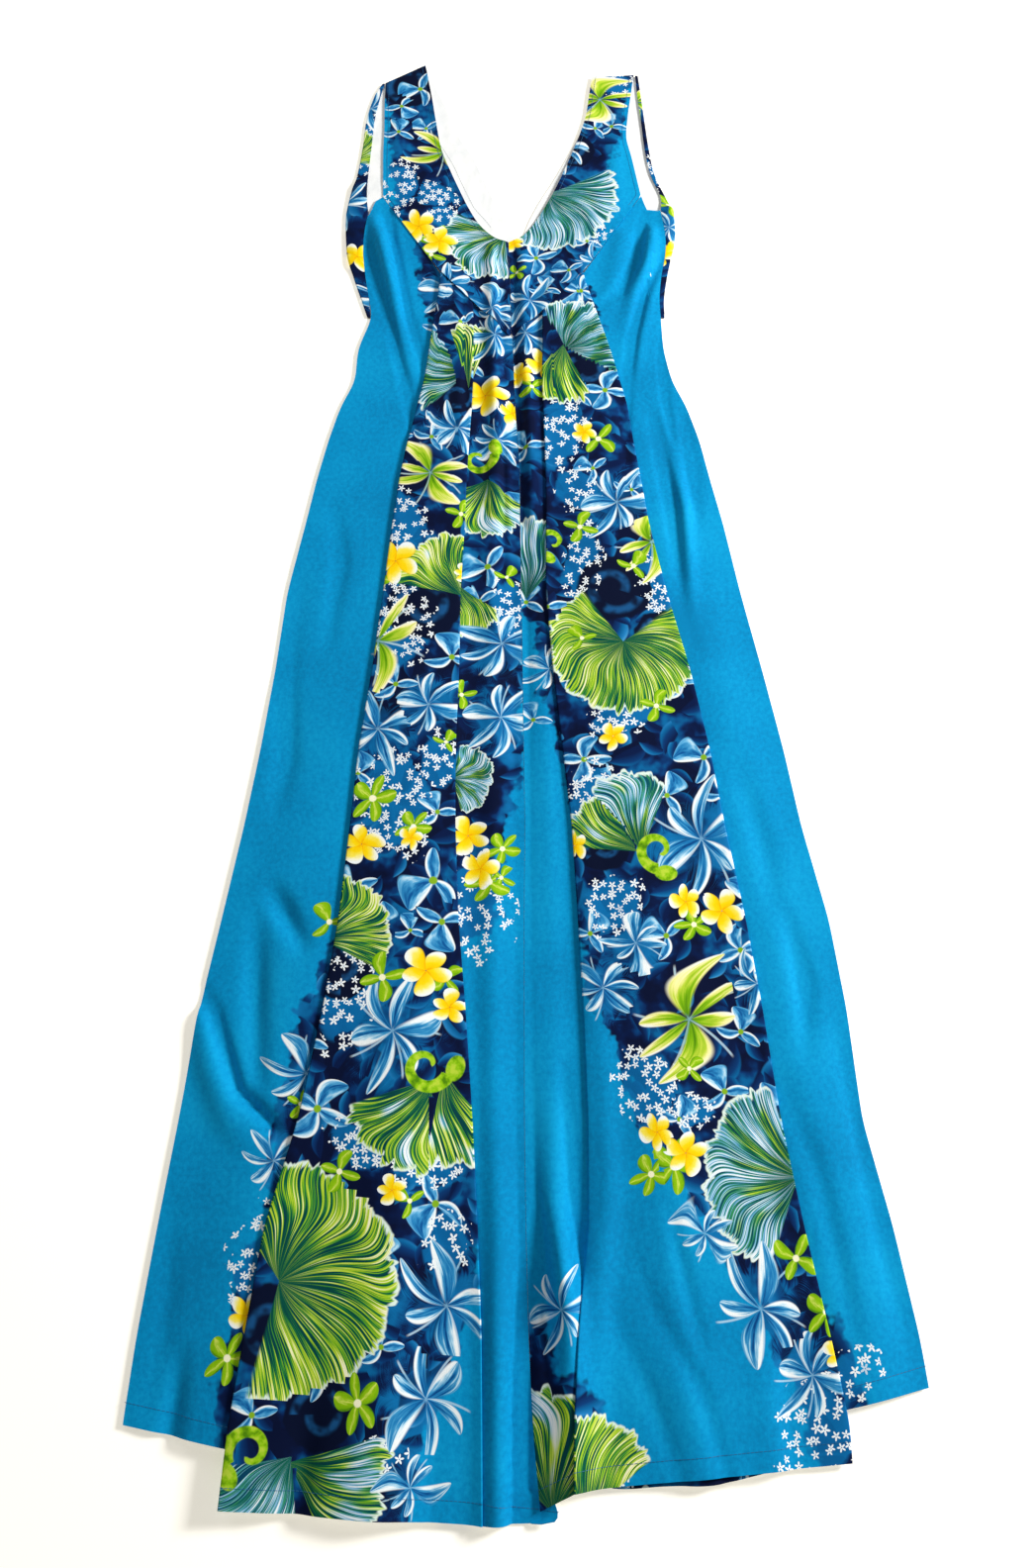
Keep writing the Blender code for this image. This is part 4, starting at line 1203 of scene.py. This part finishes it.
# %% The fan leaf
def fan_group():
    tree, (place,) = open_group("Fan Leaf", Place="vector")
    p, q, code = parts(place)
    half = reckon("FLOOR", code) * (math.pi / 180)
    blue = reckon("FRACT", code)
    radius = reckon("SQRT", p * p + q * q)
    angle = reckon("ARCTAN2", q, p)
    share = angle / half
    frill = noise(vector(angle * 6, code), 1.0, 2.0) - 0.5
    lobes = distance(reckon("SINE", angle * 7 + frill * 7)) * 0.06
    rim = 0.90 + lobes + frill * 0.22 - power(distance(share), 4.0) * 0.08
    inside = smooth(rim - radius, 0.0, 0.02) * smooth(1 - distance(share) + frill * 0.1, 0.0, 0.05)
    sway = (reckon("SINE", radius * 4.4 + angle * 1.7 + code) * 0.24
            + reckon("SINE", radius * 10 + angle * 3) * 0.04)
    swirl = angle * (1 + radius * 0.30) + sway * radius
    fine = noise(vector(swirl * 30, radius * 1.3 + code * 2), 1.0, 2.0, 0.65)
    broad = noise(vector(swirl * 3.0, radius * 1.8 + code * 2 + 4), 1.0, 1.0)
    vein = (fine - 0.5) * 2.4 + 0.5
    tone = vein + (broad - 0.5) * 0.8 + radius * 0.30 - 0.20
    green = ramp(tone, (0.12, tint(2, 64, 70)), (0.30, DARK_GREEN), (0.43, LEAF_GREEN),
                 (0.54, tint(112, 178, 22)), (0.68, tint(182, 212, 48)), (0.86, PALE_LIME), (1.0, CREAM))
    cold = ramp(tone, (0.12, tint(2, 62, 96)), (0.30, tint(8, 100, 92)), (0.43, tint(64, 158, 84)),
                (0.54, tint(70, 146, 196)), (0.68, tint(150, 204, 234)), (0.88, WHITE))
    colour = blend(smooth(broad + (blue - 0.5) * 1.1 + radius * 0.25 - 0.15, 0.44, 0.60), green, cold)
    colour = blend(smooth(radius, 0.50, 0.04) * 0.70, colour, DARK_GREEN)
    white_rim = smooth(rim - radius + (fine - 0.5) * 0.14, 0.050, 0.020)
    colour = blend(white_rim, colour, tint(226, 244, 232))
    return close_group(tree, Colour=("colour", colour), Mask=("number", inside))


# %% [markdown]
# ## Scrolls, swirls and sprays
# A scroll is a lime spiral hook. A swirl is a navy roundel with a lighter crescent. A spray is
# a patch of tiny five-pointed stars: Voronoi cells scatter them, and each cell draws one star
# round its own point, turned at random.

# %% Scroll and swirl
def scroll_group():
    tree, (place,) = open_group("Scroll", Place="vector")
    p, q, _ = parts(place)
    radius = reckon("SQRT", p * p + q * q)
    share = reckon("ARCTAN2", q, p) / TURN + 0.5
    spine = 0.18 + share * 0.62
    thick = (0.09 + share * 0.17) * smooth(share, 0.0, 0.12)
    body = smooth(thick - distance(radius - spine), 0.0, 0.05)
    bud_p, bud_q = p + 0.95, q + 0.28
    bud = smooth(0.34 - reckon("SQRT", bud_p * bud_p + bud_q * bud_q * 0.5), 0.0, 0.05)
    tone = noise(place, 3.0, 3.0)
    colour = ramp(tone, (0.30, OLIVE), (0.48, LIME), (0.66, tint(186, 214, 60)))
    return close_group(tree, Colour=("colour", colour), Mask=("number", largest(body, bud)))


def swirl_group():
    tree, (place,) = open_group("Swirl", Place="vector")
    p, q, _ = parts(place)
    radius = reckon("SQRT", p * p + q * q)
    share = reckon("ARCTAN2", q, p) / TURN + 0.5
    wave = noise(place, 1.6, 2.0) - 0.5
    mask = smooth(1.0 - radius + wave * 0.35, 0.0, 0.10)
    crescent = smooth(distance(radius - 0.30 - share * 0.42), 0.17, 0.03) * smooth(wave, -0.12, 0.10)
    colour = blend(crescent * 0.75, tint(3, 13, 42), tint(26, 92, 150))
    return close_group(tree, Colour=("colour", colour), Mask=("number", mask))


# %% Cells, for what is scattered by the dozen
def scattered(cloth, size, randomness):
    """A place's distances to the point of its Voronoi cell, in cells, and three lots of that cell."""
    scaled = Value.tree.nodes.new("ShaderNodeVectorMath")
    scaled.operation = "SCALE"
    plug(scaled.inputs[0], cloth)
    scaled.inputs["Scale"].default_value = 1 / size
    cells = Value.tree.nodes.new("ShaderNodeTexVoronoi")
    cells.voronoi_dimensions = "2D"
    cells.inputs["Scale"].default_value = 1.0
    cells.inputs["Randomness"].default_value = randomness
    plug(cells.inputs["Vector"], Value(scaled.outputs[0]))
    here_x, here_y, _ = parts(Value(scaled.outputs[0]))
    point_x, point_y, _ = parts(Value(cells.outputs["Position"]))
    return here_x - point_x, here_y - point_y, parts(Value(cells.outputs["Color"]))


def scattered_by(cloth, size, randomness):
    """The same, with the cell's size from a socket."""
    across, along, _ = parts(cloth)
    return scattered(vector(across / size, along / size), 1.0, randomness)


# %% Sprays of stars
STAR_SPACING = 0.0078


def spray_group():
    tree, (place, cloth) = open_group("Star Spray", Place="vector", Cloth="vector")
    p, q, slim = parts(place)
    edge = reckon("SQRT", p * p + (q / slim) * (q / slim))
    dx, dy, (luck, spin, size) = scattered(cloth, STAR_SPACING, 0.95)
    radius = reckon("SQRT", dx * dx + dy * dy)
    angle = reckon("ARCTAN2", dy, dx) * 5 + spin * 20
    star = smooth((0.33 + 0.18 * reckon("COSINE", angle)) * (0.8 + size * 0.35) - radius, 0.0, 0.06)
    heart = smooth(radius, 0.085, 0.05) * 0.8
    kept = smooth(1.05 - edge + (luck - 0.5) * 0.6, 0.0, 0.02) * smooth(luck, 0.20, 0.22)
    colour = blend(heart, WHITE, tint(30, 110, 168))
    wash = smooth(edge + (luck - 0.5) * 0.2, 1.15, 0.75) * 0.75
    return close_group(tree, Colour=("colour", colour), Mask=("number", star * kept), Wash=("number", wash))


# %% [markdown]
# ## Ground and dye
# Plain parts of the cloth are turquoise, dyed a little unevenly. The navy is painted in soft
# patches with blue showing through, and blue leaves are strewn all over it, some with a pale
# edge. Its own edge frays into the turquoise. Behind stars and lilies the navy is washed out.

# %% Strewn leaves
def strewn_group():
    tree, (cloth, size, under) = open_group("Strewn Leaves", Cloth="vector", Size="number", Under="colour")
    dx, dy, (luck, spin, light) = scattered_by(cloth, size, 0.9)
    angle = spin * (3 * TURN)
    cos, sin = reckon("COSINE", angle), reckon("SINE", angle)
    p = dx * cos + dy * sin
    q = dy * cos - dx * sin + p * p * 0.45 - 0.06
    half_width = 0.24 - p * p * 0.62
    mask = smooth(half_width - distance(q), 0.0, 0.06) * smooth(luck, 0.34, 0.36)
    side = q / largest(half_width, 0.02)
    tone = side * 0.38 + light * 0.42 + p * 0.32
    colour = ramp(tone, (0.0, NAVY), (0.30, DEEP_BLUE), (0.48, MIDDLE_BLUE), (0.66, tint(30, 122, 184)),
                  (0.80, tint(70, 156, 208)), (0.94, tint(170, 216, 240)))
    return close_group(tree, Colour=("colour", blend(mask, under, colour)))


STREWN = strewn_group()


# %% Ground
def ground_group():
    tree, (cloth, depth, wash) = open_group("Painted Ground", Cloth="vector", Depth="number", Wash="number")
    fray = noise(cloth, 55.0, 2.0, 0.6) - 0.5
    inside = smooth(depth + fray * 0.030, -0.001, 0.004)
    tone = noise(cloth, 24.0, 3.0, 0.6) + wash * 0.30 + smooth(depth, 0.020, 0.004) * 0.12
    paint = ramp(tone, (0.42, tint(3, 14, 48)), (0.52, NAVY), (0.58, DEEP_BLUE), (0.66, MIDDLE_BLUE),
                 (0.84, tint(14, 116, 178)))
    paint = use(STREWN, Cloth=cloth, Size=0.036, Under=paint)["Colour"]
    paint = use(STREWN, Cloth=cloth, Size=0.022, Under=paint)["Colour"]
    paint = blend(smooth(wash, 0.30, 0.75) * 0.78, paint, tint(4, 106, 168))
    mottle = noise(cloth, 9.0, 2.0) * 0.55 + noise(cloth, 240.0, 2.0, 0.7) * 0.45
    dye = ramp(mottle, (0.34, tint(0, 130, 186)), (0.50, TURQUOISE), (0.66, tint(6, 157, 212)))
    return close_group(tree, Colour=("colour", blend(inside, dye, paint)), Dye=("colour", dye))


# %% [markdown]
# ## Weave
# Plain weave at about 16 threads a centimetre: two crossed waves, each thread over and under the
# next, and a slub here and there. It only feeds the bump, a trace of roughness and, on the printed cloth, a
# trace of painted shade where the threads dip.

# %% Weave
def weave_group():
    tree, (cloth, pitch, crumple) = open_group(
        "Plain Weave", Cloth="vector", Pitch="number", Crumple="number")
    across, along, _ = parts(cloth)
    over = reckon("SINE", across / pitch * math.pi)
    under = reckon("SINE", along / pitch * math.pi)
    checker = reckon("SIGN", over * under)
    threads = checker * (distance(over) - distance(under)) * 0.5 + 0.5
    slub = (noise(vector(across * 90, along * 900), 1.0, 1.0)
            + noise(vector(across * 900, along * 90), 1.0, 1.0))
    soft = noise(cloth, 46.0, 2.0, 0.55) * crumple
    height = threads * 0.6 + slub * 0.5 + soft
    return close_group(tree, Height=("number", height), Threads=("number", threads))


GROUPS = {
    "fan": fan_group(),
    "lily": lily_group(),
    "plumeria": plumeria_group(),
    "lime_flower": small_flower_group("Lime Flower", 0.46, 1.9, 0.16, 0.10, LIME_STOPS, CREAM, 0.15),
    "pale_leaf": small_flower_group("Pale Leaf", 0.47, 1.8, 0.26, 0.22, PALE_STOPS, tint(132, 178, 34), 0.12),
    "scroll": scroll_group(),
    "swirl": swirl_group(),
    "spray": spray_group(),
}
GROUND = ground_group()
WEAVE = weave_group()
print("shader groups:", len(bpy.data.node_groups))

# %% [markdown]
# ## Materials
# The printed cotton lays its motifs over the ground in the order in which they were painted:
# swirls first, plumerias last. The reverse of the cloth is white, because the dye sits on its face.

# %% Cotton
THREAD_PITCH = 0.0006
WEAVE_DEPTH = 0.0002
WEAVE_STRENGTH = 0.35
WEAVE_ROUGHNESS = 0.08   # what the threads add to the cloth's own
COTTON_SPECULAR = 0.08
COTTON_ROUGHNESS = 0.78
REVERSE_ROUGHNESS = 0.80
COTTON_CRUMPLE = 6.0
REVERSE_CRUMPLE = 16.0   # no print hides its small folds
PAINT_ORDER = ("swirl", "pale_leaf", "spray", "fan", "lily", "scroll", "lime_flower", "plumeria")


def attribute(name):
    node = Value.tree.nodes.new("ShaderNodeAttribute")
    node.attribute_name = name
    return node


def new_cotton(name, roughness, crumple):
    """A material with the weave's bump. Returns it with its shader and its cloth coordinates."""
    material = bpy.data.materials.new(name)
    material.use_nodes = True
    Value.tree = material.node_tree
    shader = material.node_tree.nodes["Principled BSDF"]
    shader.inputs["Specular IOR Level"].default_value = COTTON_SPECULAR
    uv = Value.tree.nodes.new("ShaderNodeUVMap")
    uv.uv_map = "cloth"
    cloth = Value(uv.outputs[0])
    weave = use(WEAVE, Cloth=cloth, Pitch=THREAD_PITCH, Crumple=crumple)
    bump = Value.tree.nodes.new("ShaderNodeBump")
    bump.inputs["Strength"].default_value = WEAVE_STRENGTH
    bump.inputs["Distance"].default_value = WEAVE_DEPTH
    plug(bump.inputs["Height"], weave["Height"])
    plug(shader.inputs["Normal"], Value(bump.outputs[0]))
    plug(shader.inputs["Roughness"], roughness + weave["Threads"] * WEAVE_ROUGHNESS)
    return material, shader, cloth, weave


def printed_cotton():
    material, shader, cloth, weave = new_cotton("printed_cotton", COTTON_ROUGHNESS, COTTON_CRUMPLE)
    found = {}
    for layer in PAINT_ORDER:
        inputs = {"Place": Value(attribute(layer).outputs["Vector"])}
        if layer == "spray":
            inputs["Cloth"] = cloth
        found[layer] = use(GROUPS[layer], **inputs)
    wash = largest(found["lily"]["Wash"], found["spray"]["Wash"])
    ground = use(GROUND, Cloth=cloth, Depth=Value(attribute("ground").outputs["Fac"]), Wash=wash)
    colour = ground["Colour"]
    for layer in PAINT_ORDER:
        colour = blend(found[layer]["Mask"], colour, found[layer]["Colour"])
    # Painted shade: the colour darkens a little where the weave's threads dip.
    shade = 0.94 + weave["Threads"] * 0.10
    plug(shader.inputs["Base Color"], blend(1 - shade, colour, tint(0, 10, 30)))
    return material


def dyed_cotton():
    material, shader, cloth, _ = new_cotton("turquoise_cotton", COTTON_ROUGHNESS, COTTON_CRUMPLE)
    ground = use(GROUND, Cloth=cloth, Depth=-1.0, Wash=0.0)
    plug(shader.inputs["Base Color"], ground["Dye"])
    return material


def cotton_reverse():
    material, shader, cloth, _ = new_cotton("cotton_reverse", REVERSE_ROUGHNESS, REVERSE_CRUMPLE)
    tone = noise(cloth, 40.0, 3.0)
    plug(shader.inputs["Base Color"], ramp(tone, (0.3, tint(238, 241, 242)), (0.7, tint(250, 251, 250))))
    return material


PRINTED = printed_cotton()
DYED = dyed_cotton()
REVERSE = cotton_reverse()

# %% [markdown]
# ## From grids to shells
# Each grid becomes a mesh with its cloth coordinates and print places, facing the way its
# print faces. Solidify gives it a thickness, half to each side, with the white reverse inside.

# %% Make the shells
SHARP = math.radians(55)


def shell(name, grid, cloth, materials, faces_up, marks=None):
    """A finished shell of cloth at the origin, from a grid of places and one of cloth places."""
    rows, stops = grid.shape[:2]
    places = grid.reshape(-1, 3) - (MIDDLE_X, LENGTH / 2, 0)
    flat = cloth.reshape(-1, 2)
    index = np.arange(rows * stops).reshape(rows, stops)
    corners = np.stack([index[:-1, :-1], index[1:, :-1], index[1:, 1:], index[:-1, 1:]], axis=-1)
    corners = corners.reshape(-1, 4)
    spans = places[corners[:, 2]] - places[corners[:, 0]], places[corners[:, 3]] - places[corners[:, 1]]
    if (np.cross(*spans)[:, 2].sum() > 0) != faces_up:
        corners = corners[:, ::-1]
    mesh = bpy.data.meshes.new(name)
    mesh.from_pydata(places.tolist(), [], corners.tolist())
    uv = mesh.uv_layers.new(name="cloth")
    uv.data.foreach_set("uv", flat[corners].reshape(-1).astype(np.float32))
    if marks:
        mark_print(mesh, corners, flat, marks)
    for material in materials:
        mesh.materials.append(material)
    mesh.shade_smooth()
    raw = bpy.data.objects.new(name + "_raw", mesh)
    bpy.context.scene.collection.objects.link(raw)
    solid = raw.modifiers.new("thickness", "SOLIDIFY")
    solid.thickness = SHELL
    solid.offset = 0
    solid.material_offset = 1
    solid.material_offset_rim = 0
    bpy.context.view_layer.update()
    graph = bpy.context.evaluated_depsgraph_get()
    finished = bpy.data.meshes.new_from_object(raw.evaluated_get(graph), preserve_all_data_layers=True,
                                               depsgraph=graph)
    finished.name = name
    finished.set_sharp_from_angle(angle=SHARP)
    bpy.data.objects.remove(raw)
    piece = bpy.data.objects.new(name, finished)
    bpy.context.scene.collection.objects.link(piece)
    area = sum(face.area for face in mesh.polygons)
    print(f"{name}: {len(finished.polygons)} faces, {area:.3f} square metres of cloth")
    return piece


shells, grids = {}, {}
for half in HALVES:
    for node, grid_of, up, marks in (
            ("front_skirt_", skirt_grid, True, "skirt_"), ("front_yoke_", yoke_grid, True, "yoke_"),
            ("back_bodice_", back_grid, False, "back_"), ("back_skirt_", back_skirt_grid, False, None)):
        name = node + half.name
        grid, cloth = grid_of(half)
        materials = (PRINTED, REVERSE) if marks else (DYED, REVERSE)
        print_name = marks + half.name if marks else None
        shells[name] = shell(name + "_cloth", grid, cloth, materials, up, print_name)
        grids[name] = grid

# %% [markdown]
# Under the right band's hem a thin edge of print peeks out, from the cloth below the pleat. It
# is a short shell of its own, joined to the skirt that it belongs to.

# %% The edge of print under the right band
PEEK_FROM, PEEK_TO = 0.067, 0.184
PEEK_DROP = 0.0052
PEEK_HEIGHT = 0.030
PEEK_PRINT = 0.56        # how far up the cloth its bit of print is taken from
PEEK_STOPS = 30
PEEK_ROWS = 8
PEEK_ROUND = 0.6
PEEK_WAVE = 0.2
PEEK_WAVES = 9           # radians along it

share = np.linspace(0, 1, PEEK_STOPS)
peek_x = PEEK_FROM + (PEEK_TO - PEEK_FROM) * share
hem_guide, right = GUIDES[-1], HALVES[1]
band_hem = np.interp(peek_x, (hem_guide.inner_right, hem_guide.outer_right),
                     (right.inner_hem, right.band_hem))
waves = 1 - PEEK_WAVE + PEEK_WAVE * np.cos(PEEK_WAVES * share)
peek_low = band_hem - PEEK_DROP * np.sin(math.pi * share) ** PEEK_ROUND * waves
peek_y = np.array([peek_low + PEEK_HEIGHT * up for up in np.linspace(1, 0, PEEK_ROWS)])
peek_x = np.broadcast_to(peek_x, peek_y.shape)
peek_grid = np.dstack([peek_x, peek_y, FRONT_LEVEL + relief(peek_x, peek_y)])
peek_cloth = np.dstack([peek_x, peek_y + PEEK_PRINT])
peek = shell("peek", peek_grid, peek_cloth, (PRINTED, REVERSE), True, "skirt_right")
skirt = shells["front_skirt_right"]
both = bmesh.new()
both.from_mesh(skirt.data)
both.from_mesh(peek.data)
both.to_mesh(skirt.data)
both.free()
bpy.data.objects.remove(peek)
print("the skirt's faces with the edge of print:", len(skirt.data.polygons))

# %% [markdown]
# ## Stitches
# Machine stitches hold the turned edges of the neckline, armholes and hem, and the facing behind
# the neck. They repeat along a path, so Geometry Nodes set them: the path is cut at every stitch,
# a bar of six sides is placed on each point along the path, and the copies are made real.

# %% The stitch tree
STITCH_SIZES = {"Pitch": 0.0032, "Stitch Length": 0.0024, "Thread Radius": 0.00022}
BAR_SIDES = 6


def stitch_tree(thread):
    """Mesh edges to a curve, one point for each stitch, a bar on each point, and a real mesh at the end."""
    tree = bpy.data.node_groups.new("Run of Stitches", "GeometryNodeTree")
    tree.interface.new_socket(name="Path", in_out="INPUT", socket_type="NodeSocketGeometry")
    for label in STITCH_SIZES:
        tree.interface.new_socket(name=label, in_out="INPUT", socket_type="NodeSocketFloat")
    tree.interface.new_socket(name="Stitches", in_out="OUTPUT", socket_type="NodeSocketGeometry")
    nodes, link = tree.nodes, tree.links.new
    entry, leave = nodes.new("NodeGroupInput"), nodes.new("NodeGroupOutput")
    curve = nodes.new("GeometryNodeMeshToCurve")
    cut = nodes.new("GeometryNodeResampleCurve")
    cut.mode = "LENGTH"
    bar = nodes.new("GeometryNodeMeshCylinder")
    bar.inputs["Vertices"].default_value = BAR_SIDES
    tangent = nodes.new("GeometryNodeInputTangent")
    aim = nodes.new("FunctionNodeAlignRotationToVector")
    aim.axis = "Z"
    place = nodes.new("GeometryNodeInstanceOnPoints")
    real = nodes.new("GeometryNodeRealizeInstances")
    paint = nodes.new("GeometryNodeSetMaterial")
    paint.inputs["Material"].default_value = thread
    link(entry.outputs["Path"], curve.inputs["Mesh"])
    link(curve.outputs["Curve"], cut.inputs["Curve"])
    link(entry.outputs["Pitch"], cut.inputs["Length"])
    link(entry.outputs["Stitch Length"], bar.inputs["Depth"])
    link(entry.outputs["Thread Radius"], bar.inputs["Radius"])
    link(tangent.outputs["Tangent"], aim.inputs["Vector"])
    link(cut.outputs["Curve"], place.inputs["Points"])
    link(bar.outputs["Mesh"], place.inputs["Instance"])
    link(aim.outputs["Rotation"], place.inputs["Rotation"])
    link(place.outputs["Instances"], real.inputs["Geometry"])
    link(real.outputs["Geometry"], paint.inputs["Geometry"])
    link(paint.outputs["Geometry"], leave.inputs["Stitches"])
    return tree


# %% Thread
PLY_PITCH = 0.0005
THREAD_ROUGHNESS = 0.6


def thread_material(name, colour):
    """Twisted thread: a fine slanting stripe of painted shade in the grooves between the plies, from a wave
    along the stitch.
    """
    material = bpy.data.materials.new(name)
    material.use_nodes = True
    Value.tree = material.node_tree
    shader = material.node_tree.nodes["Principled BSDF"]
    where = Value.tree.nodes.new("ShaderNodeTexCoord")
    across, along, _ = parts(Value(where.outputs["Object"]))
    # Painted shade: a darker stripe in the grooves between the plies of the twist.
    painted_ply_shade = reckon("SINE", (across + along) * (TURN / PLY_PITCH)) * 0.5 + 0.5
    plug(shader.inputs["Base Color"], blend(painted_ply_shade * 0.45, colour, tint(6, 20, 40)))
    shader.inputs["Roughness"].default_value = THREAD_ROUGHNESS
    return material


# %% Paths along the cloth
HEM_ROW = -4             # the hem's stitches run three rows of the grid above its edge
EDGE_INSET = 0.0045      # those of the neckline and the armholes, so far inside
BACK_NECK_INSET = 0.024  # the depth of the facing behind the neck
BACK_NECK_ROWS = BACK_ROWS * 7 // 11  # those that start at the neckline


def lifted(line, above):
    return np.array(line) + (0, 0, above)


def inset_line(rows, inset):
    """The places at a given distance along each row from its first stop."""
    places = []
    for row in rows:
        run = np.concatenate([[0], np.cumsum(np.linalg.norm(np.diff(row, axis=0), axis=1))])
        places.append([np.interp(inset, run, row[:, axis]) for axis in range(3)])
    return np.array(places)


def stitches(name, lines, tree):
    """One plain mesh of stitches along these lines of places."""
    points, edges = [], []
    for line in lines:
        edges += [(len(points) + i, len(points) + i + 1) for i in range(len(line) - 1)]
        points += (line - (MIDDLE_X, LENGTH / 2, 0)).tolist()
    path = bpy.data.meshes.new(name)
    path.from_pydata(points, edges, [])
    raw = bpy.data.objects.new(name + "_path", path)
    bpy.context.scene.collection.objects.link(raw)
    sewing = raw.modifiers.new("sewing", "NODES")
    sewing.node_group = tree
    for item in tree.interface.items_tree:
        if item.name in STITCH_SIZES:
            sewing[item.identifier] = STITCH_SIZES[item.name]
    bpy.context.view_layer.update()
    graph = bpy.context.evaluated_depsgraph_get()
    finished = bpy.data.meshes.new_from_object(raw.evaluated_get(graph), depsgraph=graph)
    finished.name = name
    bpy.data.objects.remove(raw)
    run = bpy.data.objects.new(name, finished)
    bpy.context.scene.collection.objects.link(run)
    print(f"{name}: {len(finished.polygons) // (BAR_SIDES + 2)} stitches")
    return run


# %% Sew
BLUE_RUN = stitch_tree(thread_material("blue_thread", tint(0, 104, 158)))
WHITE_RUN = stitch_tree(thread_material("white_thread", tint(214, 220, 224)))
ON_TOP = SHELL / 2 + 0.0001  # just above the shell's upper face
PANEL = slice(0, PANEL_STOPS)
TUCKS = len(TUCK_SHARES)
BAND_FROM = PANEL_STOPS + 2 * (TUCKS + TURN_STOPS) - 1
BAND = slice(BAND_FROM, BAND_FROM + 2 * (TUCKS + 1) + BAND_STOPS)
STRIP = slice(-STRIP_STOPS, None)

runs = {}
for half in HALVES:
    hem = grids["front_skirt_" + half.name][HEM_ROW]
    runs["front_skirt_" + half.name] = stitches(
        "hem_stitches_" + half.name, [lifted(hem[part], ON_TOP) for part in (PANEL, BAND, STRIP)], BLUE_RUN)
    yoke = grids["front_yoke_" + half.name]
    neck_rows = yoke[yoke[:, -1, 1] > NECK_TIP[1] + EDGE_INSET, ::-1]
    arm_rows = yoke[np.linspace(0, 1, YOKE_ROWS) < YOKE_LAPS_FROM]
    lines = [lifted(inset_line(rows, EDGE_INSET), ON_TOP) for rows in (neck_rows, arm_rows)]
    runs["front_yoke_" + half.name] = stitches("edge_stitches_" + half.name, lines, BLUE_RUN)
    back = grids["back_bodice_" + half.name]
    neck_rows = back[:BACK_NECK_ROWS]
    line = lifted(inset_line(neck_rows, BACK_NECK_INSET), ON_TOP)
    runs["back_bodice_" + half.name] = stitches("facing_stitches_" + half.name, [line], WHITE_RUN)

# %% [markdown]
# ## Hand the pieces to the frame
# Every shell rides on the one body and stands for its node.

# %% Ride and replace
Cut = namedtuple("Cut", "width length area lies_on slot")
CUTS = {
    "front_skirt_left": Cut(0.46, 1.25, 0.38, "back_skirt_left", "turquoise_cotton"),
    "front_skirt_right": Cut(0.46, 1.25, 0.37, "back_skirt_right", "turquoise_cotton"),
    "front_yoke_left": Cut(0.16, 0.38, 0.024, "back_bodice_left", "printed_cotton"),
    "front_yoke_right": Cut(0.16, 0.38, 0.0245, "back_bodice_right", "printed_cotton"),
    "back_bodice_left": Cut(0.20, 0.35, 0.050, "floor", "printed_cotton"),
    "back_bodice_right": Cut(0.20, 0.35, 0.041, "floor", "printed_cotton"),
    "back_skirt_left": Cut(0.31, 1.04, 0.245, "floor", "turquoise_cotton"),
    "back_skirt_right": Cut(0.31, 1.04, 0.240, "floor", "turquoise_cotton"),
}
for name, piece in shells.items():
    cut = CUTS[name]
    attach(piece, "root")
    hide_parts(name)
    sewn = [runs[name]] if name in runs else []
    for run in sewn:
        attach(run, "root")
    rests = [] if cut.lies_on == "floor" else [cut.lies_on]

# %% Write the sizes and finish
low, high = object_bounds()
for label, box in (("visual", high - low), ("frame", cad_high - cad_low)):
    print(label, [round(side, 4) for side in box])
